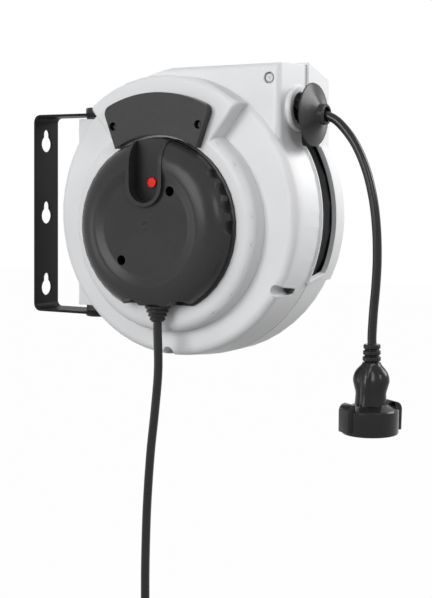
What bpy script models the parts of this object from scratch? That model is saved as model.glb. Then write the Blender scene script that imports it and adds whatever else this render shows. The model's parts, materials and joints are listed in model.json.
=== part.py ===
"""Wall-hung cord reel with a spring-driven drum on a swivel bracket. Metres, +Z up, wall at X = 0."""

from math import acos, atan2, cos, degrees, pi, radians, sin, sqrt

import bmesh
import bpy
from mathutils import Vector

# Fits
GAP = 0.0003
THROUGH = 0.002

# Casing, measured forward, or behind, from its middle plane
CASE_RADIUS = 0.139
CASE_WALL = 0.003
SEAM = 0.011
REVEAL_WIDTH = 0.0012
REVEAL_DEPTH = 0.001
FRONT_SHOULDER = 0.057
FRONT_EDGE = 0.008
RIM_TAPER = 0.0036
REAR_DEPTH = 0.044
REAR_EDGE = 0.020
DRUM_DROP = 0.0094
RAISED_SETBACK = 0.037
RAISED_RADIUS = CASE_RADIUS - RAISED_SETBACK
RAISED_FACE = 0.077
RAISED_EDGE = 0.010
PAD_START = 51.5
PAD_END = 128.5
PAD_SHY = 0.0004
PAD_SETBACK = 0.005
PAD_EDGE = 0.005
PAD_SIDE_EDGE = 0.003
PAD_SINK = 0.007
SPINE_HALF_HEIGHT = 0.0972
SPINE_DEPTH = 0.048
SPINE_OVERHANG = 0.018
SPINE_BEHIND = 0.022
SPINE_EDGE = 0.005
SPRING_HOUSING_RADIUS = 0.074
SPRING_HOUSING_DEPTH = 0.053
SPRING_HOUSING_EDGE = 0.006
SHAFT_BOSS_RADIUS = 0.016
SHAFT_BOSS_LENGTH = 0.014

# Wall bracket
WALL_TO_PIVOT = 0.072
PIVOT_INSET = 0.011
PIVOT_X = PIVOT_INSET - CASE_RADIUS
STRAP_THICKNESS = 0.0025
STRAP_WIDTH = 0.038
STRAP_BEND = 0.008
KEYHOLE_PITCH = 0.077
KEYHOLE_HEAD_RADIUS = 0.00875
KEYHOLE_NECK_RADIUS = 0.005
KEYHOLE_HEIGHT = 0.0243
PIVOT_RADIUS = 0.006
PIVOT_DEPTH = 0.029
PIVOT_CAP_RADIUS = 0.014
PIVOT_CAP_EDGE = 0.002
UPPER_CAP_HEIGHT = 0.0062
LOWER_CAP_HEIGHT = 0.003
BUSH_WALL = 0.002
BUSH_FLANGE_RADIUS = 0.013
BUSH_DEPTH = 0.020
UPPER_FLANGE = 0.0025
LOWER_FLANGE = 0.0055
CASE_RISE = (LOWER_FLANGE - UPPER_FLANGE) / 2
MEAN_FLANGE = (LOWER_FLANGE + UPPER_FLANGE) / 2
STRAP_HALF_HEIGHT = SPINE_HALF_HEIGHT + MEAN_FLANGE + STRAP_THICKNESS + 2 * GAP

# Outlet tower
TOWER_LEFT = 0.030
TOWER_KNEE = 0.002
TOWER_FALL = 0.007
TOWER_FOOT = 0.050
TOWER_RISE = 0.0035
TOWER_TOP = CASE_RADIUS + TOWER_RISE
TOWER_STEP = 0.003
TOWER_REVEAL = 0.0015
TOWER_FRONT = 0.053
TOWER_BEHIND = 0.038
TOWER_REAR_FALL = 0.0115
TOWER_FRONT_SETBACK = 0.024
TOWER_SIDE_FRONT = CASE_RADIUS - TOWER_FRONT_SETBACK
TOWER_SEAM_SETBACK = 0.016
TOWER_SIDE_SEAM = CASE_RADIUS - TOWER_SEAM_SETBACK
TOWER_REAR_SETBACK = 0.018
TOWER_SIDE_REAR = CASE_RADIUS - TOWER_REAR_SETBACK
TOWER_EDGE = 0.006
MOUTH_SETBACK = 0.038
MOUTH_UP = CASE_RADIUS - MOUTH_SETBACK
MOUTH_FORWARD = 0.0225
MOUTH_RADIUS = 0.015
MOUTH_LIP = 0.007
MOUTH_LIP_PROUD = 0.001
MOUTH_LIP_EDGE = 0.0015
MOUTH_LIP_ROOT = 0.010
NECK_FOOT_UP = 0.058

# Ledge beside the slot, at the full radius of the rim
LEDGE_BEHIND = 0.0395
LEDGE_EDGE = 0.003
LEDGE_START = -27
LEDGE_END = 45

# Slot in the rim
SLOT_BEHIND = 0.015
SLOT_FRONT_STEP = 0.002
SLOT_FRONT_RISE = 0.0055
SLOT_RISE_ANGLE = 14
SLOT_END_ANGLE = -22
SLOT_END_LENGTH = 0.010
SLOT_TOP_ANGLE = 34
SLOT_LIP_TOP_ANGLE = 28
SLOT_LIP = 0.003
SLOT_LIP_PROUD = 0.0016
SLOT_LIP_DEPTH = 0.004

# Casing screws
RIM_SCREW_ANGLES = (-31, 268)
RIM_SCREW_SETBACK = 0.0065
RIM_SCREW_SEAT = 0.028
TOWER_SCREW_SIDE = 0.0103
TOWER_SCREW_DOWN = 0.0142
TOWER_SCREW_SINK = 0.0045
SCREW_CHANNEL = 0.0055
SCREW_SLEEVE = 0.0080
SCREW_BOSS = 0.0065
SCREW_BOSS_BEHIND = 0.006
SCREW_HEAD = 0.0046
SCREW_HEAD_HEIGHT = 0.0034
SCREW_SHANK = 0.0021
SCREW_TIP_BEHIND = 0.001

# Drum
SHAFT_RADIUS = 0.007
SHAFT_FRONT = 0.0722
SHAFT_BEHIND = 0.0605
NUT_RADIUS = 0.011
NUT_HEIGHT = 0.008
BUSH_RADIUS = 0.0090
HUB_RADIUS = 0.016
FLANGE_SETBACK = 0.035
FLANGE_RADIUS = CASE_RADIUS - FLANGE_SETBACK
FLANGE_THICKNESS = 0.004
CORE_INNER = 0.057
CORE_OUTER = 0.062
CORE_BEHIND = 0.021
CORE_FRONT = 0.043
HUB_LENGTH = 0.003
RATCHET_TEETH = 24
RATCHET_DEPTH = 0.004
RATCHET_NOTCH_SHARE = 0.55
ARBOR_RADIUS = 0.012
SPRING_TURNS = 6
SPRING_THICKNESS = 0.001
SPRING_BEHIND = 0.018
SPRING_FRONT = 0.010
RING_INNER = 0.0203
RING_OUTER = 0.0230
RING_WIDTH = 0.004
RING_PITCH = 0.006
RING_FIRST = 0.0520
CARRIER_FRONT = 0.0715

# Cord on the drum
CORD_DIAMETER = 0.0084
CORD_RADIUS = CORD_DIAMETER / 2
WIND_PITCH = 0.009
WIND_TURNS = 6
WIND_START_ANGLE = 100
PACK_OUTER = 0.0792
WIND_CLEARANCE = 0.0013
WIND_RADIUS = PACK_OUTER + WIND_CLEARANCE + CORD_RADIUS
LOOP_POINTS = 24

# Ratchet pawl
PAWL_STAND = 0.013
PAWL_PIVOT_RADIUS = FLANGE_RADIUS + PAWL_STAND
PAWL_PIVOT_ANGLE = 99
PAWL_LENGTH = 0.0222
PAWL_TIP = 0.0026
PAWL_NOSE = 0.002
PAWL_REST_ANGLE = -27.9
PAWL_SWING = 14
PAWL_EYE = 0.006
PAWL_PIN = 0.003
PAWL_PIN_HEAD = 0.0045
PAWL_PIN_HEAD_HEIGHT = 0.003
PAWL_PIN_LENGTH = 0.0125

# Brushes
BRUSH_LENGTH = 0.0105
BRUSH_HALF_WIDTH = 0.003
BRUSH_HALF_HEIGHT = 0.0015
HOLDER_INNER = 0.0262
HOLDER_OUTER = 0.042
HOLDER_HALF_WIDTH = 0.008
HUB_HOLE = 0.030

# Connection cover
COVER_BASE = RAISED_FACE + GAP
COVER_RADIUS = 0.0820
COVER_LIP = 0.002
COVER_LIP_RADIUS = COVER_RADIUS + COVER_LIP
COVER_LIP_HEIGHT = 0.002
COVER_SKIRT = 0.086
COVER_FACE = 0.1045
COVER_CREST = 0.058
COVER_FACE_RADIUS = 0.046
COVER_FACE_SINK = 0.0025
COVER_WALL = 0.003
COVER_SKIRT_WALL = 0.006
COVER_DIMPLE = 0.0042
COVER_DIMPLE_SINK = 0.001
COVER_CUT_DOWN = 0.0746
COVER_FLOOR_DOWN = 0.0640
COVER_SCOOP = 0.013
COVER_SCOOP_DOWN = 0.0815
COVER_SCOOP_SPREAD = 0.026
COVER_SCREW = (0.0272, 0.0326)
COVER_SCREW_HOLE = 0.0048
COVER_SCREW_SEAT = 0.084
COVER_SCREW_BITE = 0.011
COVER_HEAD_HEIGHT = 0.0025
COVER_BOSS = 0.0075
GRIP_ANGLES = (37, 25, 13, 0)
GRIP_RADIUS = 0.009
GRIP_DEPTH = 0.0032
RECESS_UP = 0.0380
RECESS_HALF_WIDTH = 0.0165
RECESS_LIP = 0.0035
RECESS_LIP_PROUD = 0.0012
RECESS_FLOOR = 0.090
RECESS_FLOOR_THICKNESS = 0.002

# Reset button and cut-out
BUTTON_UP = 0.0405
BUTTON_RADIUS = 0.0049
BUTTON_FRONT = 0.0917
BUTTON_EDGE = 0.001
BUTTON_TRAVEL = 0.002
CUTOUT_HALF_WIDTH = 0.011
CUTOUT_HALF_HEIGHT = 0.015
CUTOUT_FLANGE = 0.0022
CUTOUT_FLANGE_EDGE = 0.002
CUTOUT_BACK = 0.062
CUTOUT_COLLAR = 0.008

# Arched plate
PLATE_CLEAR = 0.002
PLATE_INNER = COVER_LIP_RADIUS + PLATE_CLEAR
PLATE_SETBACK = 0.013
PLATE_OUTER = CASE_RADIUS - PLATE_SETBACK
PLATE_FACE = 0.0865
PLATE_BEVEL = 0.0025
PLATE_INNER_ANGLE = 32
PLATE_CORNER = 0.008
PLATE_CORNER_ANGLE = 25
PLATE_SIDE_LEAN = 20.4
PLATE_SCREW_RADIUS = (PLATE_INNER + PLATE_OUTER) / 2
PLATE_SCREW_ANGLE = 27
PLATE_SCREW_SEAT = 0.0797
PLATE_SCREW_BITE = 0.009
SMALL_HEAD = 0.0038
SMALL_HEAD_HEIGHT = 0.002
SMALL_SHANK = 0.0018

# Supply lead
LEAD_SIDE = 0.0055
LEAD_FORWARD = 0.0895
RELIEF_NECK = 0.0065
RELIEF_RADII = (0.0120, 0.0105, 0.0090, 0.0075)
RELIEF_RING = 0.0026
RELIEF_GROOVE = 0.0011
RELIEF_WAIST_SHARE = 0.8
RELIEF_TOP_DOWN = 0.060
LEAD_DRIFT = 0.014
LEAD_HANG = 0.275
COIL_RADIUS = 0.054
COIL_PITCH = 0.009
COIL_DEGREES = 1500
COIL_ENTRY = 120
COIL_CLIMB = 180
LEAD_TAIL = 0.038
TIE_WIDTH = 0.010
TIE_THICKNESS = 0.0014
TIE_ROOM = 0.0008
PLUG_RADIUS = 0.0175
PLUG_LENGTH = 0.036
PLUG_NECK_RADIUS = 0.0062
PLUG_NECK = 0.012
PLUG_SHOULDER_RADIUS = 0.0145
PLUG_SHOULDER = 0.018
PLUG_BODY = 0.025
PLUG_EDGE = 0.001
PLUG_PIN_RADIUS = 0.0024
PLUG_PIN_LENGTH = 0.019
PLUG_PIN_SPREAD = 0.0095
PLUG_PIN_ROOT = 0.008
PLUG_PIN_POINT = 0.0015

# Output cord, stop bell and coupling
BELL_RADIUS = 0.030
BELL_STAND = 0.0127
BELL_RIM = TOWER_SIDE_SEAM + BELL_STAND
BELL_EDGE = 0.0012
BELL_BACK_CONE = 0.007
BELL_FRONT_CONE = 0.0075
BELL_DEPTH = 0.0138
BELL_END = BELL_RIM + BELL_DEPTH
BELL_HUB = 0.0100
BELL_HUB_EDGE = 0.001
BELL_FLARE = 0.0025
BELL_FLARE_DEPTH = 0.007
BELL_PLUG = 0.0082
BELL_PLUG_DEPTH = 0.0025
BELL_PLUG_BACK = TOWER_SIDE_SEAM - BELL_PLUG_DEPTH
BELL_BORE_CLEARANCE = 0.0005
BELL_BORE = CORD_RADIUS + BELL_BORE_CLEARANCE
BELL_UP = MOUTH_UP - (MOUTH_RADIUS - BELL_PLUG - GAP)
COUPLING_OUT = 0.1935
COUPLING_FORWARD = 0.020
COUPLING_TOP_DOWN = 0.1155
COUPLING_RADIUS = 0.0258
COUPLING_LENGTH = 0.081
COUPLING_EDGE = 0.002
COUPLING_RINGS = 3
COUPLING_RING_RADIUS = 0.0085
COUPLING_RING_WAIST = 0.0066
COUPLING_RING = 0.0042
COUPLING_RING_PITCH = 0.0055
GRIP_TOP_RADIUS = 0.0110
GRIP_SWELL_RADIUS = 0.0172
GRIP_SWELL_DOWN = 0.0300
GRIP_WAIST_RADIUS = 0.0147
GRIP_WAIST_DOWN = 0.0480
GRIP_LOBE_SHARE = 0.10
GRIP_RIB_SHARE = 0.22
HEAD_DOWN = 0.0530
HEAD_SLOPE = 0.0035
WELL_RADIUS = 0.0200
WELL_DEPTH = 0.0175
WELL_DRAFT = 0.0005
CONTACT_HOLE = 0.0026
CONTACT_DEPTH = 0.014
COUPLING_TAB = 0.0272
COUPLING_TAB_HALF_WIDTH = 0.008
COUPLING_TAB_ROOT = 0.003
COUPLING_TAB_DOWN = 0.0015
COUPLING_TAB_ANGLE = 123.8

# Finishes: red, green, blue, metallic, roughness
PALE_GREY = (0.62, 0.63, 0.66, 0.0, 0.45)
BLACK_PLASTIC = (0.045, 0.045, 0.048, 0.0, 0.5)
DARK_GREY = (0.08, 0.08, 0.085, 0.0, 0.5)
BLACK_PAINT = (0.03, 0.03, 0.032, 0.0, 0.45)
BLACK_RUBBER = (0.022, 0.022, 0.024, 0.0, 0.65)
CORD_GREY = (0.06, 0.06, 0.065, 0.0, 0.6)
RED_PLASTIC = (0.75, 0.05, 0.02, 0.0, 0.4)
STEEL = (0.55, 0.56, 0.58, 1.0, 0.35)
BRASS = (0.72, 0.52, 0.22, 1.0, 0.35)
CARBON = (0.03, 0.03, 0.03, 0.2, 0.7)
WHITE_NYLON = (0.78, 0.77, 0.72, 0.0, 0.5)

# Turns that point a shape's own Z another way
FORWARD = (0, 0, 0)
UP = (-pi / 2, 0, 0)
DOWN = (pi / 2, 0, 0)
OUTWARD = (0, pi / 2, 0)
LEVEL_FRAME = (pi / 2, 0, 0)
TINY = 1e-9
RIM_STEPS = 54
OFF_AXIS = 0.37


def polar(radius, angle):
    return (radius * cos(radians(angle)), radius * sin(radians(angle)))


def arc(centre, radius, start, end, steps):
    """Points from one angle to the other, in degrees, about a centre."""
    points = []
    for i in range(steps + 1):
        x, y = polar(radius, start + (end - start) * i / steps)
        points.append((centre[0] + x, centre[1] + y))
    return points


def oval(centre, across, along, start, end, steps):
    """Points on an ellipse with these two half sizes, angles in degrees."""
    points = []
    for i in range(steps + 1):
        turn = radians(start + (end - start) * i / steps)
        points.append((centre[0] + across * cos(turn), centre[1] + along * sin(turn)))
    return points


def turned(profile, steps=48, swell=None):
    """A solid of revolution about Z, from (radius, height) points round its section.

    No corner lies on an axis, so that cuts by flat shapes stay clean. The swell, of height and angle,
    scales the radius of a shape that isn't quite round."""
    shape = bmesh.new()
    rings = []
    for radius, height in profile:
        if radius < TINY:
            rings.append([shape.verts.new((0, 0, height))] * steps)
            continue
        ring = []
        for i in range(steps):
            angle = 360 * (i + OFF_AXIS) / steps
            x, y = polar(radius * (swell(height, angle) if swell else 1), angle)
            ring.append(shape.verts.new((x, y, height)))
        rings.append(ring)
    for first, second in zip(rings, rings[1:] + rings[:1]):
        for i in range(steps):
            j = (i + 1) % steps
            corners = list(dict.fromkeys((first[i], first[j], second[j], second[i])))
            if len(corners) > 2:
                shape.faces.new(corners)
    bmesh.ops.recalc_face_normals(shape, faces=shape.faces)
    return shape


def part_turned(profile, start, end, steps):
    """A section swept about Z from one angle to another, with flat ends.

    The profile may be a function of the angle."""
    shape = bmesh.new()
    sections = []
    for i in range(steps + 1):
        angle = start + (end - start) * i / steps
        section = []
        for radius, height in profile(angle) if callable(profile) else profile:
            x, y = polar(radius, angle)
            section.append(shape.verts.new((x, y, height)))
        sections.append(section)
    count = len(sections[0])
    for first, second in zip(sections, sections[1:]):
        for i in range(count):
            j = (i + 1) % count
            shape.faces.new((first[i], first[j], second[j], second[i]))
    shape.faces.new(sections[0])
    shape.faces.new(sections[-1])
    bmesh.ops.recalc_face_normals(shape, faces=shape.faces)
    return shape


def lofted(base, low, top, high):
    """A solid between two outlines of the same count, at heights low and high."""
    shape = bmesh.new()
    lower = [shape.verts.new((x, y, low)) for x, y in base]
    upper = [shape.verts.new((x, y, high)) for x, y in top]
    shape.faces.new(lower)
    shape.faces.new(upper)
    for i in range(len(base)):
        j = (i + 1) % len(base)
        shape.faces.new((lower[i], lower[j], upper[j], upper[i]))
    bmesh.ops.recalc_face_normals(shape, faces=shape.faces)
    return shape


def prism(outline, low, high):
    return lofted(outline, low, outline, high)


def block(low, high):
    """A box between two corners."""
    outline = [(low[0], low[1]), (high[0], low[1]), (high[0], high[1]), (low[0], high[1])]
    return prism(outline, low[2], high[2])


def rod(radius, low, high, steps=12):
    return turned([(0, low), (radius, low), (radius, high), (0, high)], steps)


def ring(inner, outer, low, high, steps=28):
    return turned([(inner, low), (outer, low), (outer, high), (inner, high)], steps)


def rounded(shape, width, segments, wanted):
    """Rounds the edges whose two ends both pass a test."""
    edges = [e for e in shape.edges if all(wanted(v.co) for v in e.verts)]
    bmesh.ops.bevel(shape, geom=edges, offset=width, segments=segments, affect="EDGES", profile=0.5)
    return shape


def place(obj, parent, at, turn):
    obj.parent = parent
    obj.location = at
    obj.rotation_euler = turn
    bpy.context.scene.collection.objects.link(obj)
    return obj


def frame(name, parent, at, turn=FORWARD):
    """An empty that pieces hang from."""
    return place(bpy.data.objects.new(name, None), parent, at, turn)


def coat(data, name, finish):
    material = bpy.data.materials.new(name + "_finish")
    material.use_nodes = True
    shader = material.node_tree.nodes["Principled BSDF"]
    shader.inputs["Base Color"].default_value = (*finish[:3], 1)
    shader.inputs["Metallic"].default_value = finish[3]
    shader.inputs["Roughness"].default_value = finish[4]
    data.materials.append(material)


def mesh_of(name, shape):
    mesh = bpy.data.meshes.new(name)
    shape.to_mesh(mesh)
    shape.free()
    mesh.shade_smooth()
    mesh.set_sharp_from_angle(angle=radians(32))
    return mesh


def piece(name, shape, parent, finish, at=(0, 0, 0), turn=FORWARD):
    mesh = mesh_of(name, shape)
    coat(mesh, name, finish)
    return place(bpy.data.objects.new(name, mesh), parent, at, turn)


def tool(shape, parent, at=(0, 0, 0), turn=FORWARD):
    """A hidden shape for a Boolean."""
    obj = place(bpy.data.objects.new("tool", mesh_of("tool", shape)), parent, at, turn)
    obj.hide_render = True
    obj.display_type = "WIRE"
    return obj


def combine(target, others, operation):
    for other in others:
        modifier = target.modifiers.new(operation.lower(), "BOOLEAN")
        modifier.operation = operation
        modifier.solver = "EXACT"
        modifier.object = other


def cut(target, *others):
    combine(target, others, "DIFFERENCE")


def join(target, *others):
    combine(target, others, "UNION")


def keep(target, *others):
    combine(target, others, "INTERSECT")


def smooth_route(stations, spacing):
    """Evenly spaced points on a smooth curve through the stations."""
    ends = [2 * Vector(stations[0]) - Vector(stations[1]), 2 * Vector(stations[-1]) - Vector(stations[-2])]
    knots = [ends[0], *map(Vector, stations), ends[1]]
    fine = []
    for a, b, c, d in zip(knots, knots[1:], knots[2:], knots[3:]):
        for i in range(20):
            t = i / 20
            bend = (2 * a - 5 * b + 4 * c - d) * t * t + (3 * b - a - 3 * c + d) * t**3
            fine.append(b + ((c - a) * t + bend) / 2)
    fine.append(Vector(stations[-1]))
    total = sum((q - p).length for p, q in zip(fine, fine[1:]))
    count = max(2, round(total / spacing))
    points = [fine[0]]
    walked = 0
    for p, q in zip(fine, fine[1:]):
        step = (q - p).length
        while len(points) < count and walked + step >= total * len(points) / count:
            points.append(p.lerp(q, (total * len(points) / count - walked) / step))
        walked += step
    points.append(fine[-1])
    return points


def tube(name, points, parent, finish, sides):
    """A round cord along the points, with closed ends."""
    curve = bpy.data.curves.new(name, "CURVE")
    curve.dimensions = "3D"
    spline = curve.splines.new("POLY")
    spline.points.add(len(points) - 1)
    for target, point in zip(spline.points, points):
        target.co = (*point, 1)
    curve.bevel_depth = CORD_RADIUS
    curve.bevel_resolution = sides
    curve.use_fill_caps = True
    coat(curve, name, finish)
    return place(bpy.data.objects.new(name, curve), parent, (0, 0, 0), FORWARD)


def least_gap(points, per_loop):
    """The smallest clear space between stretches of a wound cord half a loop or more apart."""
    least = 1.0
    for i, p in enumerate(points):
        for q in points[i + per_loop // 2:]:
            least = min(least, (Vector(p) - Vector(q)).length - CORD_DIAMETER)
    return least


def screw(name, parent, at, head, head_height, shank, length, finish):
    """A round-headed screw that points away from the viewer, its head resting at height 0."""
    shape = turned(
        [
            (0, -length), (shank * 0.6, -length), (shank, -length + shank), (shank, 0), (head, 0),
            (head, head_height * 0.6), (head * 0.8, head_height), (head * 0.35, head_height),
            (0, head_height * 0.45),
        ],
        9,
    )
    return piece(name, shape, parent, finish, at)


for old in list(bpy.data.objects):
    bpy.data.objects.remove(old)

# Frames: local X points away from the wall, local Y up and local Z to the front
bracket_frame = frame("bracket_frame", None, (0, 0, -KEYHOLE_PITCH / 2), LEVEL_FRAME)
swivel_frame = frame("swivel_frame", bracket_frame, (WALL_TO_PIVOT, CASE_RISE, 0))
reel_frame = frame("reel_frame", swivel_frame, (-PIVOT_X, 0, 0))
drum_frame = frame("drum_frame", reel_frame, (0, -DRUM_DROP, 0))

# Wall bracket: one bent strap with three keyholes
arm_end = WALL_TO_PIVOT + STRAP_WIDTH / 2
half = STRAP_HALF_HEIGHT
bend_in = STRAP_BEND - STRAP_THICKNESS
outer_path = [(arm_end, half)]
outer_path += arc((STRAP_BEND, half - STRAP_BEND), STRAP_BEND, 90, 180, 5)
outer_path += arc((STRAP_BEND, STRAP_BEND - half), STRAP_BEND, 180, 270, 5)
outer_path += [(arm_end, -half)]
inner_path = [(arm_end, STRAP_THICKNESS - half)]
inner_path += arc((STRAP_BEND, STRAP_BEND - half), bend_in, 270, 180, 5)
inner_path += arc((STRAP_BEND, half - STRAP_BEND), bend_in, 180, 90, 5)
inner_path += [(arm_end, half - STRAP_THICKNESS)]
strap = prism(outer_path + inner_path, -STRAP_WIDTH / 2, STRAP_WIDTH / 2)
wall_bracket = piece("wall_bracket", strap, bracket_frame, BLACK_PAINT)

arm_corner = arc((WALL_TO_PIVOT, 0), STRAP_WIDTH / 2, 84, -84, 14)
spare = STRAP_WIDTH
arm_trim = [
    (WALL_TO_PIVOT, -spare), (arm_end + spare, -spare), (arm_end + spare, spare), (WALL_TO_PIVOT, spare),
    (WALL_TO_PIVOT - THROUGH, STRAP_WIDTH / 2 + THROUGH), *arm_corner,
    (WALL_TO_PIVOT - THROUGH, -STRAP_WIDTH / 2 - THROUGH),
]
reach = half + THROUGH
cut(wall_bracket, tool(prism(arm_trim, -reach, reach), bracket_frame, turn=UP))
pivot_hole = rod(PIVOT_RADIUS + GAP, -reach, reach)
cut(wall_bracket, tool(pivot_hole, bracket_frame, (WALL_TO_PIVOT, 0, 0), UP))

head_up = KEYHOLE_HEAD_RADIUS - KEYHOLE_HEIGHT / 2
neck_up = KEYHOLE_HEIGHT / 2 - KEYHOLE_NECK_RADIUS
neck_turn = 90 - degrees(acos(KEYHOLE_NECK_RADIUS / KEYHOLE_HEAD_RADIUS))
side_turn = 90 - neck_turn
keyhole = arc((0, neck_up), KEYHOLE_NECK_RADIUS, 0, 180, 8)
keyhole += arc((0, head_up), KEYHOLE_HEAD_RADIUS, 180 - side_turn, 360 + side_turn, 20)
for row in (-1, 0, 1):
    hole = prism(keyhole, -STRAP_THICKNESS - THROUGH, THROUGH)
    cut(wall_bracket, tool(hole, bracket_frame, (0, row * KEYHOLE_PITCH, 0), (0, -pi / 2, 0)))

# Swivel: a pin, a cap and a bush at each arm
cap_base = half + GAP
pin_foot = SPINE_HALF_HEIGHT - PIVOT_DEPTH
bush_base = SPINE_HALF_HEIGHT + GAP
bush_bore = PIVOT_RADIUS + GAP
bush_outer = bush_bore + BUSH_WALL
at_pivot = (WALL_TO_PIVOT, 0, 0)
swivel_sides = (
    ("upper", UP, UPPER_FLANGE, UPPER_CAP_HEIGHT, CASE_RISE),
    ("lower", DOWN, LOWER_FLANGE, LOWER_CAP_HEIGHT, -CASE_RISE),
)
for side, turn, bush_flange, cap_height, rise in swivel_sides:
    cap_top = cap_base + cap_height
    pin_top = cap_base + cap_height / 2
    cap_edge = (PIVOT_CAP_RADIUS - PIVOT_CAP_EDGE, cap_top - PIVOT_CAP_EDGE)
    cap = [(bush_bore, cap_base), (PIVOT_CAP_RADIUS, cap_base), *arc(cap_edge, PIVOT_CAP_EDGE, 0, 90, 3)]
    cap += [(0, cap_top), (0, pin_top + GAP), (bush_bore, pin_top + GAP)]
    piece(side + "_pivot_cap", turned(cap, 18), bracket_frame, BLACK_PLASTIC, at_pivot, turn)
    pin = rod(PIVOT_RADIUS, pin_foot + rise, pin_top)
    piece(side + "_pivot_pin", pin, bracket_frame, STEEL, at_pivot, turn)
    bush_top = bush_base + bush_flange
    bush = [
        (bush_bore, bush_base - BUSH_DEPTH), (bush_outer, bush_base - BUSH_DEPTH), (bush_outer, bush_base),
        (BUSH_FLANGE_RADIUS, bush_base), (BUSH_FLANGE_RADIUS, bush_top), (bush_bore, bush_top),
    ]
    piece(side + "_pivot_bush", turned(bush, 16), swivel_frame, DARK_GREY, (0, 0, 0), turn)

# Screw places in the casing, as (name, x, y, seat)
tower_screw = (TOWER_SIDE_FRONT - TOWER_SCREW_SIDE, TOWER_TOP - TOWER_SCREW_DOWN)
screw_places = [("shell_screw_tower", *tower_screw, TOWER_FRONT - TOWER_SCREW_SINK)]
for label, angle in zip(("right", "bottom"), RIM_SCREW_ANGLES):
    screw_at = polar(CASE_RADIUS - RIM_SCREW_SETBACK, angle)
    screw_places.append(("shell_screw_" + label, *screw_at, RIM_SCREW_SEAT))
screw_hole = SCREW_SHANK + GAP
screw_tip = -SCREW_TIP_BEHIND

# Front shell: tapered rim, flat shoulder, raised disc, arched pad and the front half of the tower
big = 2 * CASE_RADIUS
front_edge = SEAM + GAP / 2
rear_edge = SEAM - GAP / 2
rim_inner = CASE_RADIUS - CASE_WALL
rim_top = FRONT_SHOULDER - FRONT_EDGE
edge_centre = (CASE_RADIUS - RIM_TAPER - FRONT_EDGE, rim_top)
front_body = [(0, SEAM - 4 * THROUGH), (CASE_RADIUS, SEAM - 4 * THROUGH), (CASE_RADIUS, SEAM)]
front_body += arc(edge_centre, FRONT_EDGE, 0, 90, 4)
front_body += [(0, FRONT_SHOULDER)]
front_shell = piece("front_shell", turned(front_body, RIM_STEPS), reel_frame, PALE_GREY)

raised = [(0, FRONT_SHOULDER - CASE_WALL), (RAISED_RADIUS, FRONT_SHOULDER - CASE_WALL)]
raised += arc((RAISED_RADIUS - RAISED_EDGE, RAISED_FACE - RAISED_EDGE), RAISED_EDGE, 0, 90, 4)
raised += [(0, RAISED_FACE)]
join(front_shell, tool(turned(raised, 40), drum_frame))

pad_face = RAISED_FACE - PAD_SHY
pad_inner = RAISED_RADIUS - RAISED_EDGE - DRUM_DROP - THROUGH
pad_outer = CASE_RADIUS - PAD_SETBACK
pad_foot = FRONT_SHOULDER - PAD_SINK
pad = [(pad_inner, pad_foot), (pad_inner, pad_face)]
pad += arc((pad_outer - PAD_EDGE, pad_face - PAD_EDGE), PAD_EDGE, 90, 0, 4)
pad += [(pad_outer, pad_foot)]
pad_shape = part_turned(pad, PAD_START, PAD_END, 11)


def on_pad_side(point):
    """Whether a corner of the pad lies on one of its two flat sides, above its foot."""
    angle = degrees(atan2(point.y, point.x))
    near = min(abs(angle - PAD_START), abs(angle - PAD_END))
    return near < 0.01 and point.z > pad_foot + TINY


rounded(pad_shape, PAD_SIDE_EDGE, 3, on_pad_side)
join(front_shell, tool(pad_shape, reel_frame))


def tower_outline(side, top, inset):
    """The tower seen from the front; inset leaves the wall thickness."""
    left = 2 * inset - TOWER_LEFT
    return [
        (left, TOWER_FOOT), (side - inset, TOWER_FOOT), (side - inset, top - inset),
        (-TOWER_KNEE, top - inset), (left, top - TOWER_FALL - inset),
    ]


def tower_face_edge(forward):
    """A test for the corners of the tower's front or rear face, right of its knee."""
    return lambda p: abs(p.z - forward) < TINY and p.y > TOWER_FOOT - TINY and p.x > -TOWER_KNEE - TINY


tower_front = lofted(
    tower_outline(TOWER_SIDE_SEAM, TOWER_TOP, 0), SEAM - 3 * THROUGH,
    tower_outline(TOWER_SIDE_FRONT, TOWER_TOP, 0), TOWER_FRONT,
)
rounded(tower_front, TOWER_EDGE, 4, tower_face_edge(TOWER_FRONT))
join(front_shell, tool(tower_front, reel_frame))

# A narrow reveal along the seam
reveal = tool(block((-big, -big, SEAM - 5 * THROUGH), (big, big, front_edge + REVEAL_WIDTH)), reel_frame)
cut(reveal, tool(rod(CASE_RADIUS - REVEAL_DEPTH, SEAM - 6 * THROUGH, big, RIM_STEPS), reel_frame))
tower_core = prism(tower_outline(TOWER_SIDE_SEAM, TOWER_TOP, REVEAL_DEPTH), SEAM - 7 * THROUGH, big)
cut(reveal, tool(tower_core, reel_frame))
cut(front_shell, reveal)

# Cord slot: its front edge lies in the front shell and swings forward towards the outlet
slot_deep = CASE_RADIUS - SLOT_LIP_DEPTH
slot_high = CASE_RADIUS + SLOT_LIP_PROUD
lip_inner = CASE_RADIUS - CASE_WALL / 2
end_angle = SLOT_END_ANGLE - degrees(SLOT_END_LENGTH / CASE_RADIUS)
lip_end_angle = SLOT_END_ANGLE - degrees((SLOT_END_LENGTH + SLOT_LIP) / CASE_RADIUS)


def rim_at(forward):
    """The outer radius of the tapered rim."""
    return CASE_RADIUS - RIM_TAPER * (forward - SEAM) / (rim_top - SEAM)


def slot_front(angle):
    share = max(0, angle - SLOT_RISE_ANGLE) / (SLOT_TOP_ANGLE - SLOT_RISE_ANGLE)
    return SEAM + SLOT_FRONT_STEP + SLOT_FRONT_RISE * share**2


def front_lip(angle):
    """The section of the raised lip in front of the slot."""
    edge = slot_front(angle)
    foot = edge + SLOT_LIP
    return [
        (lip_inner, SEAM - 2 * THROUGH), (slot_high, SEAM - 2 * THROUGH), (slot_high, edge + SLOT_LIP / 2),
        (rim_at(foot) - GAP, foot), (lip_inner - RIM_TAPER / 2, foot),
    ]


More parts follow.
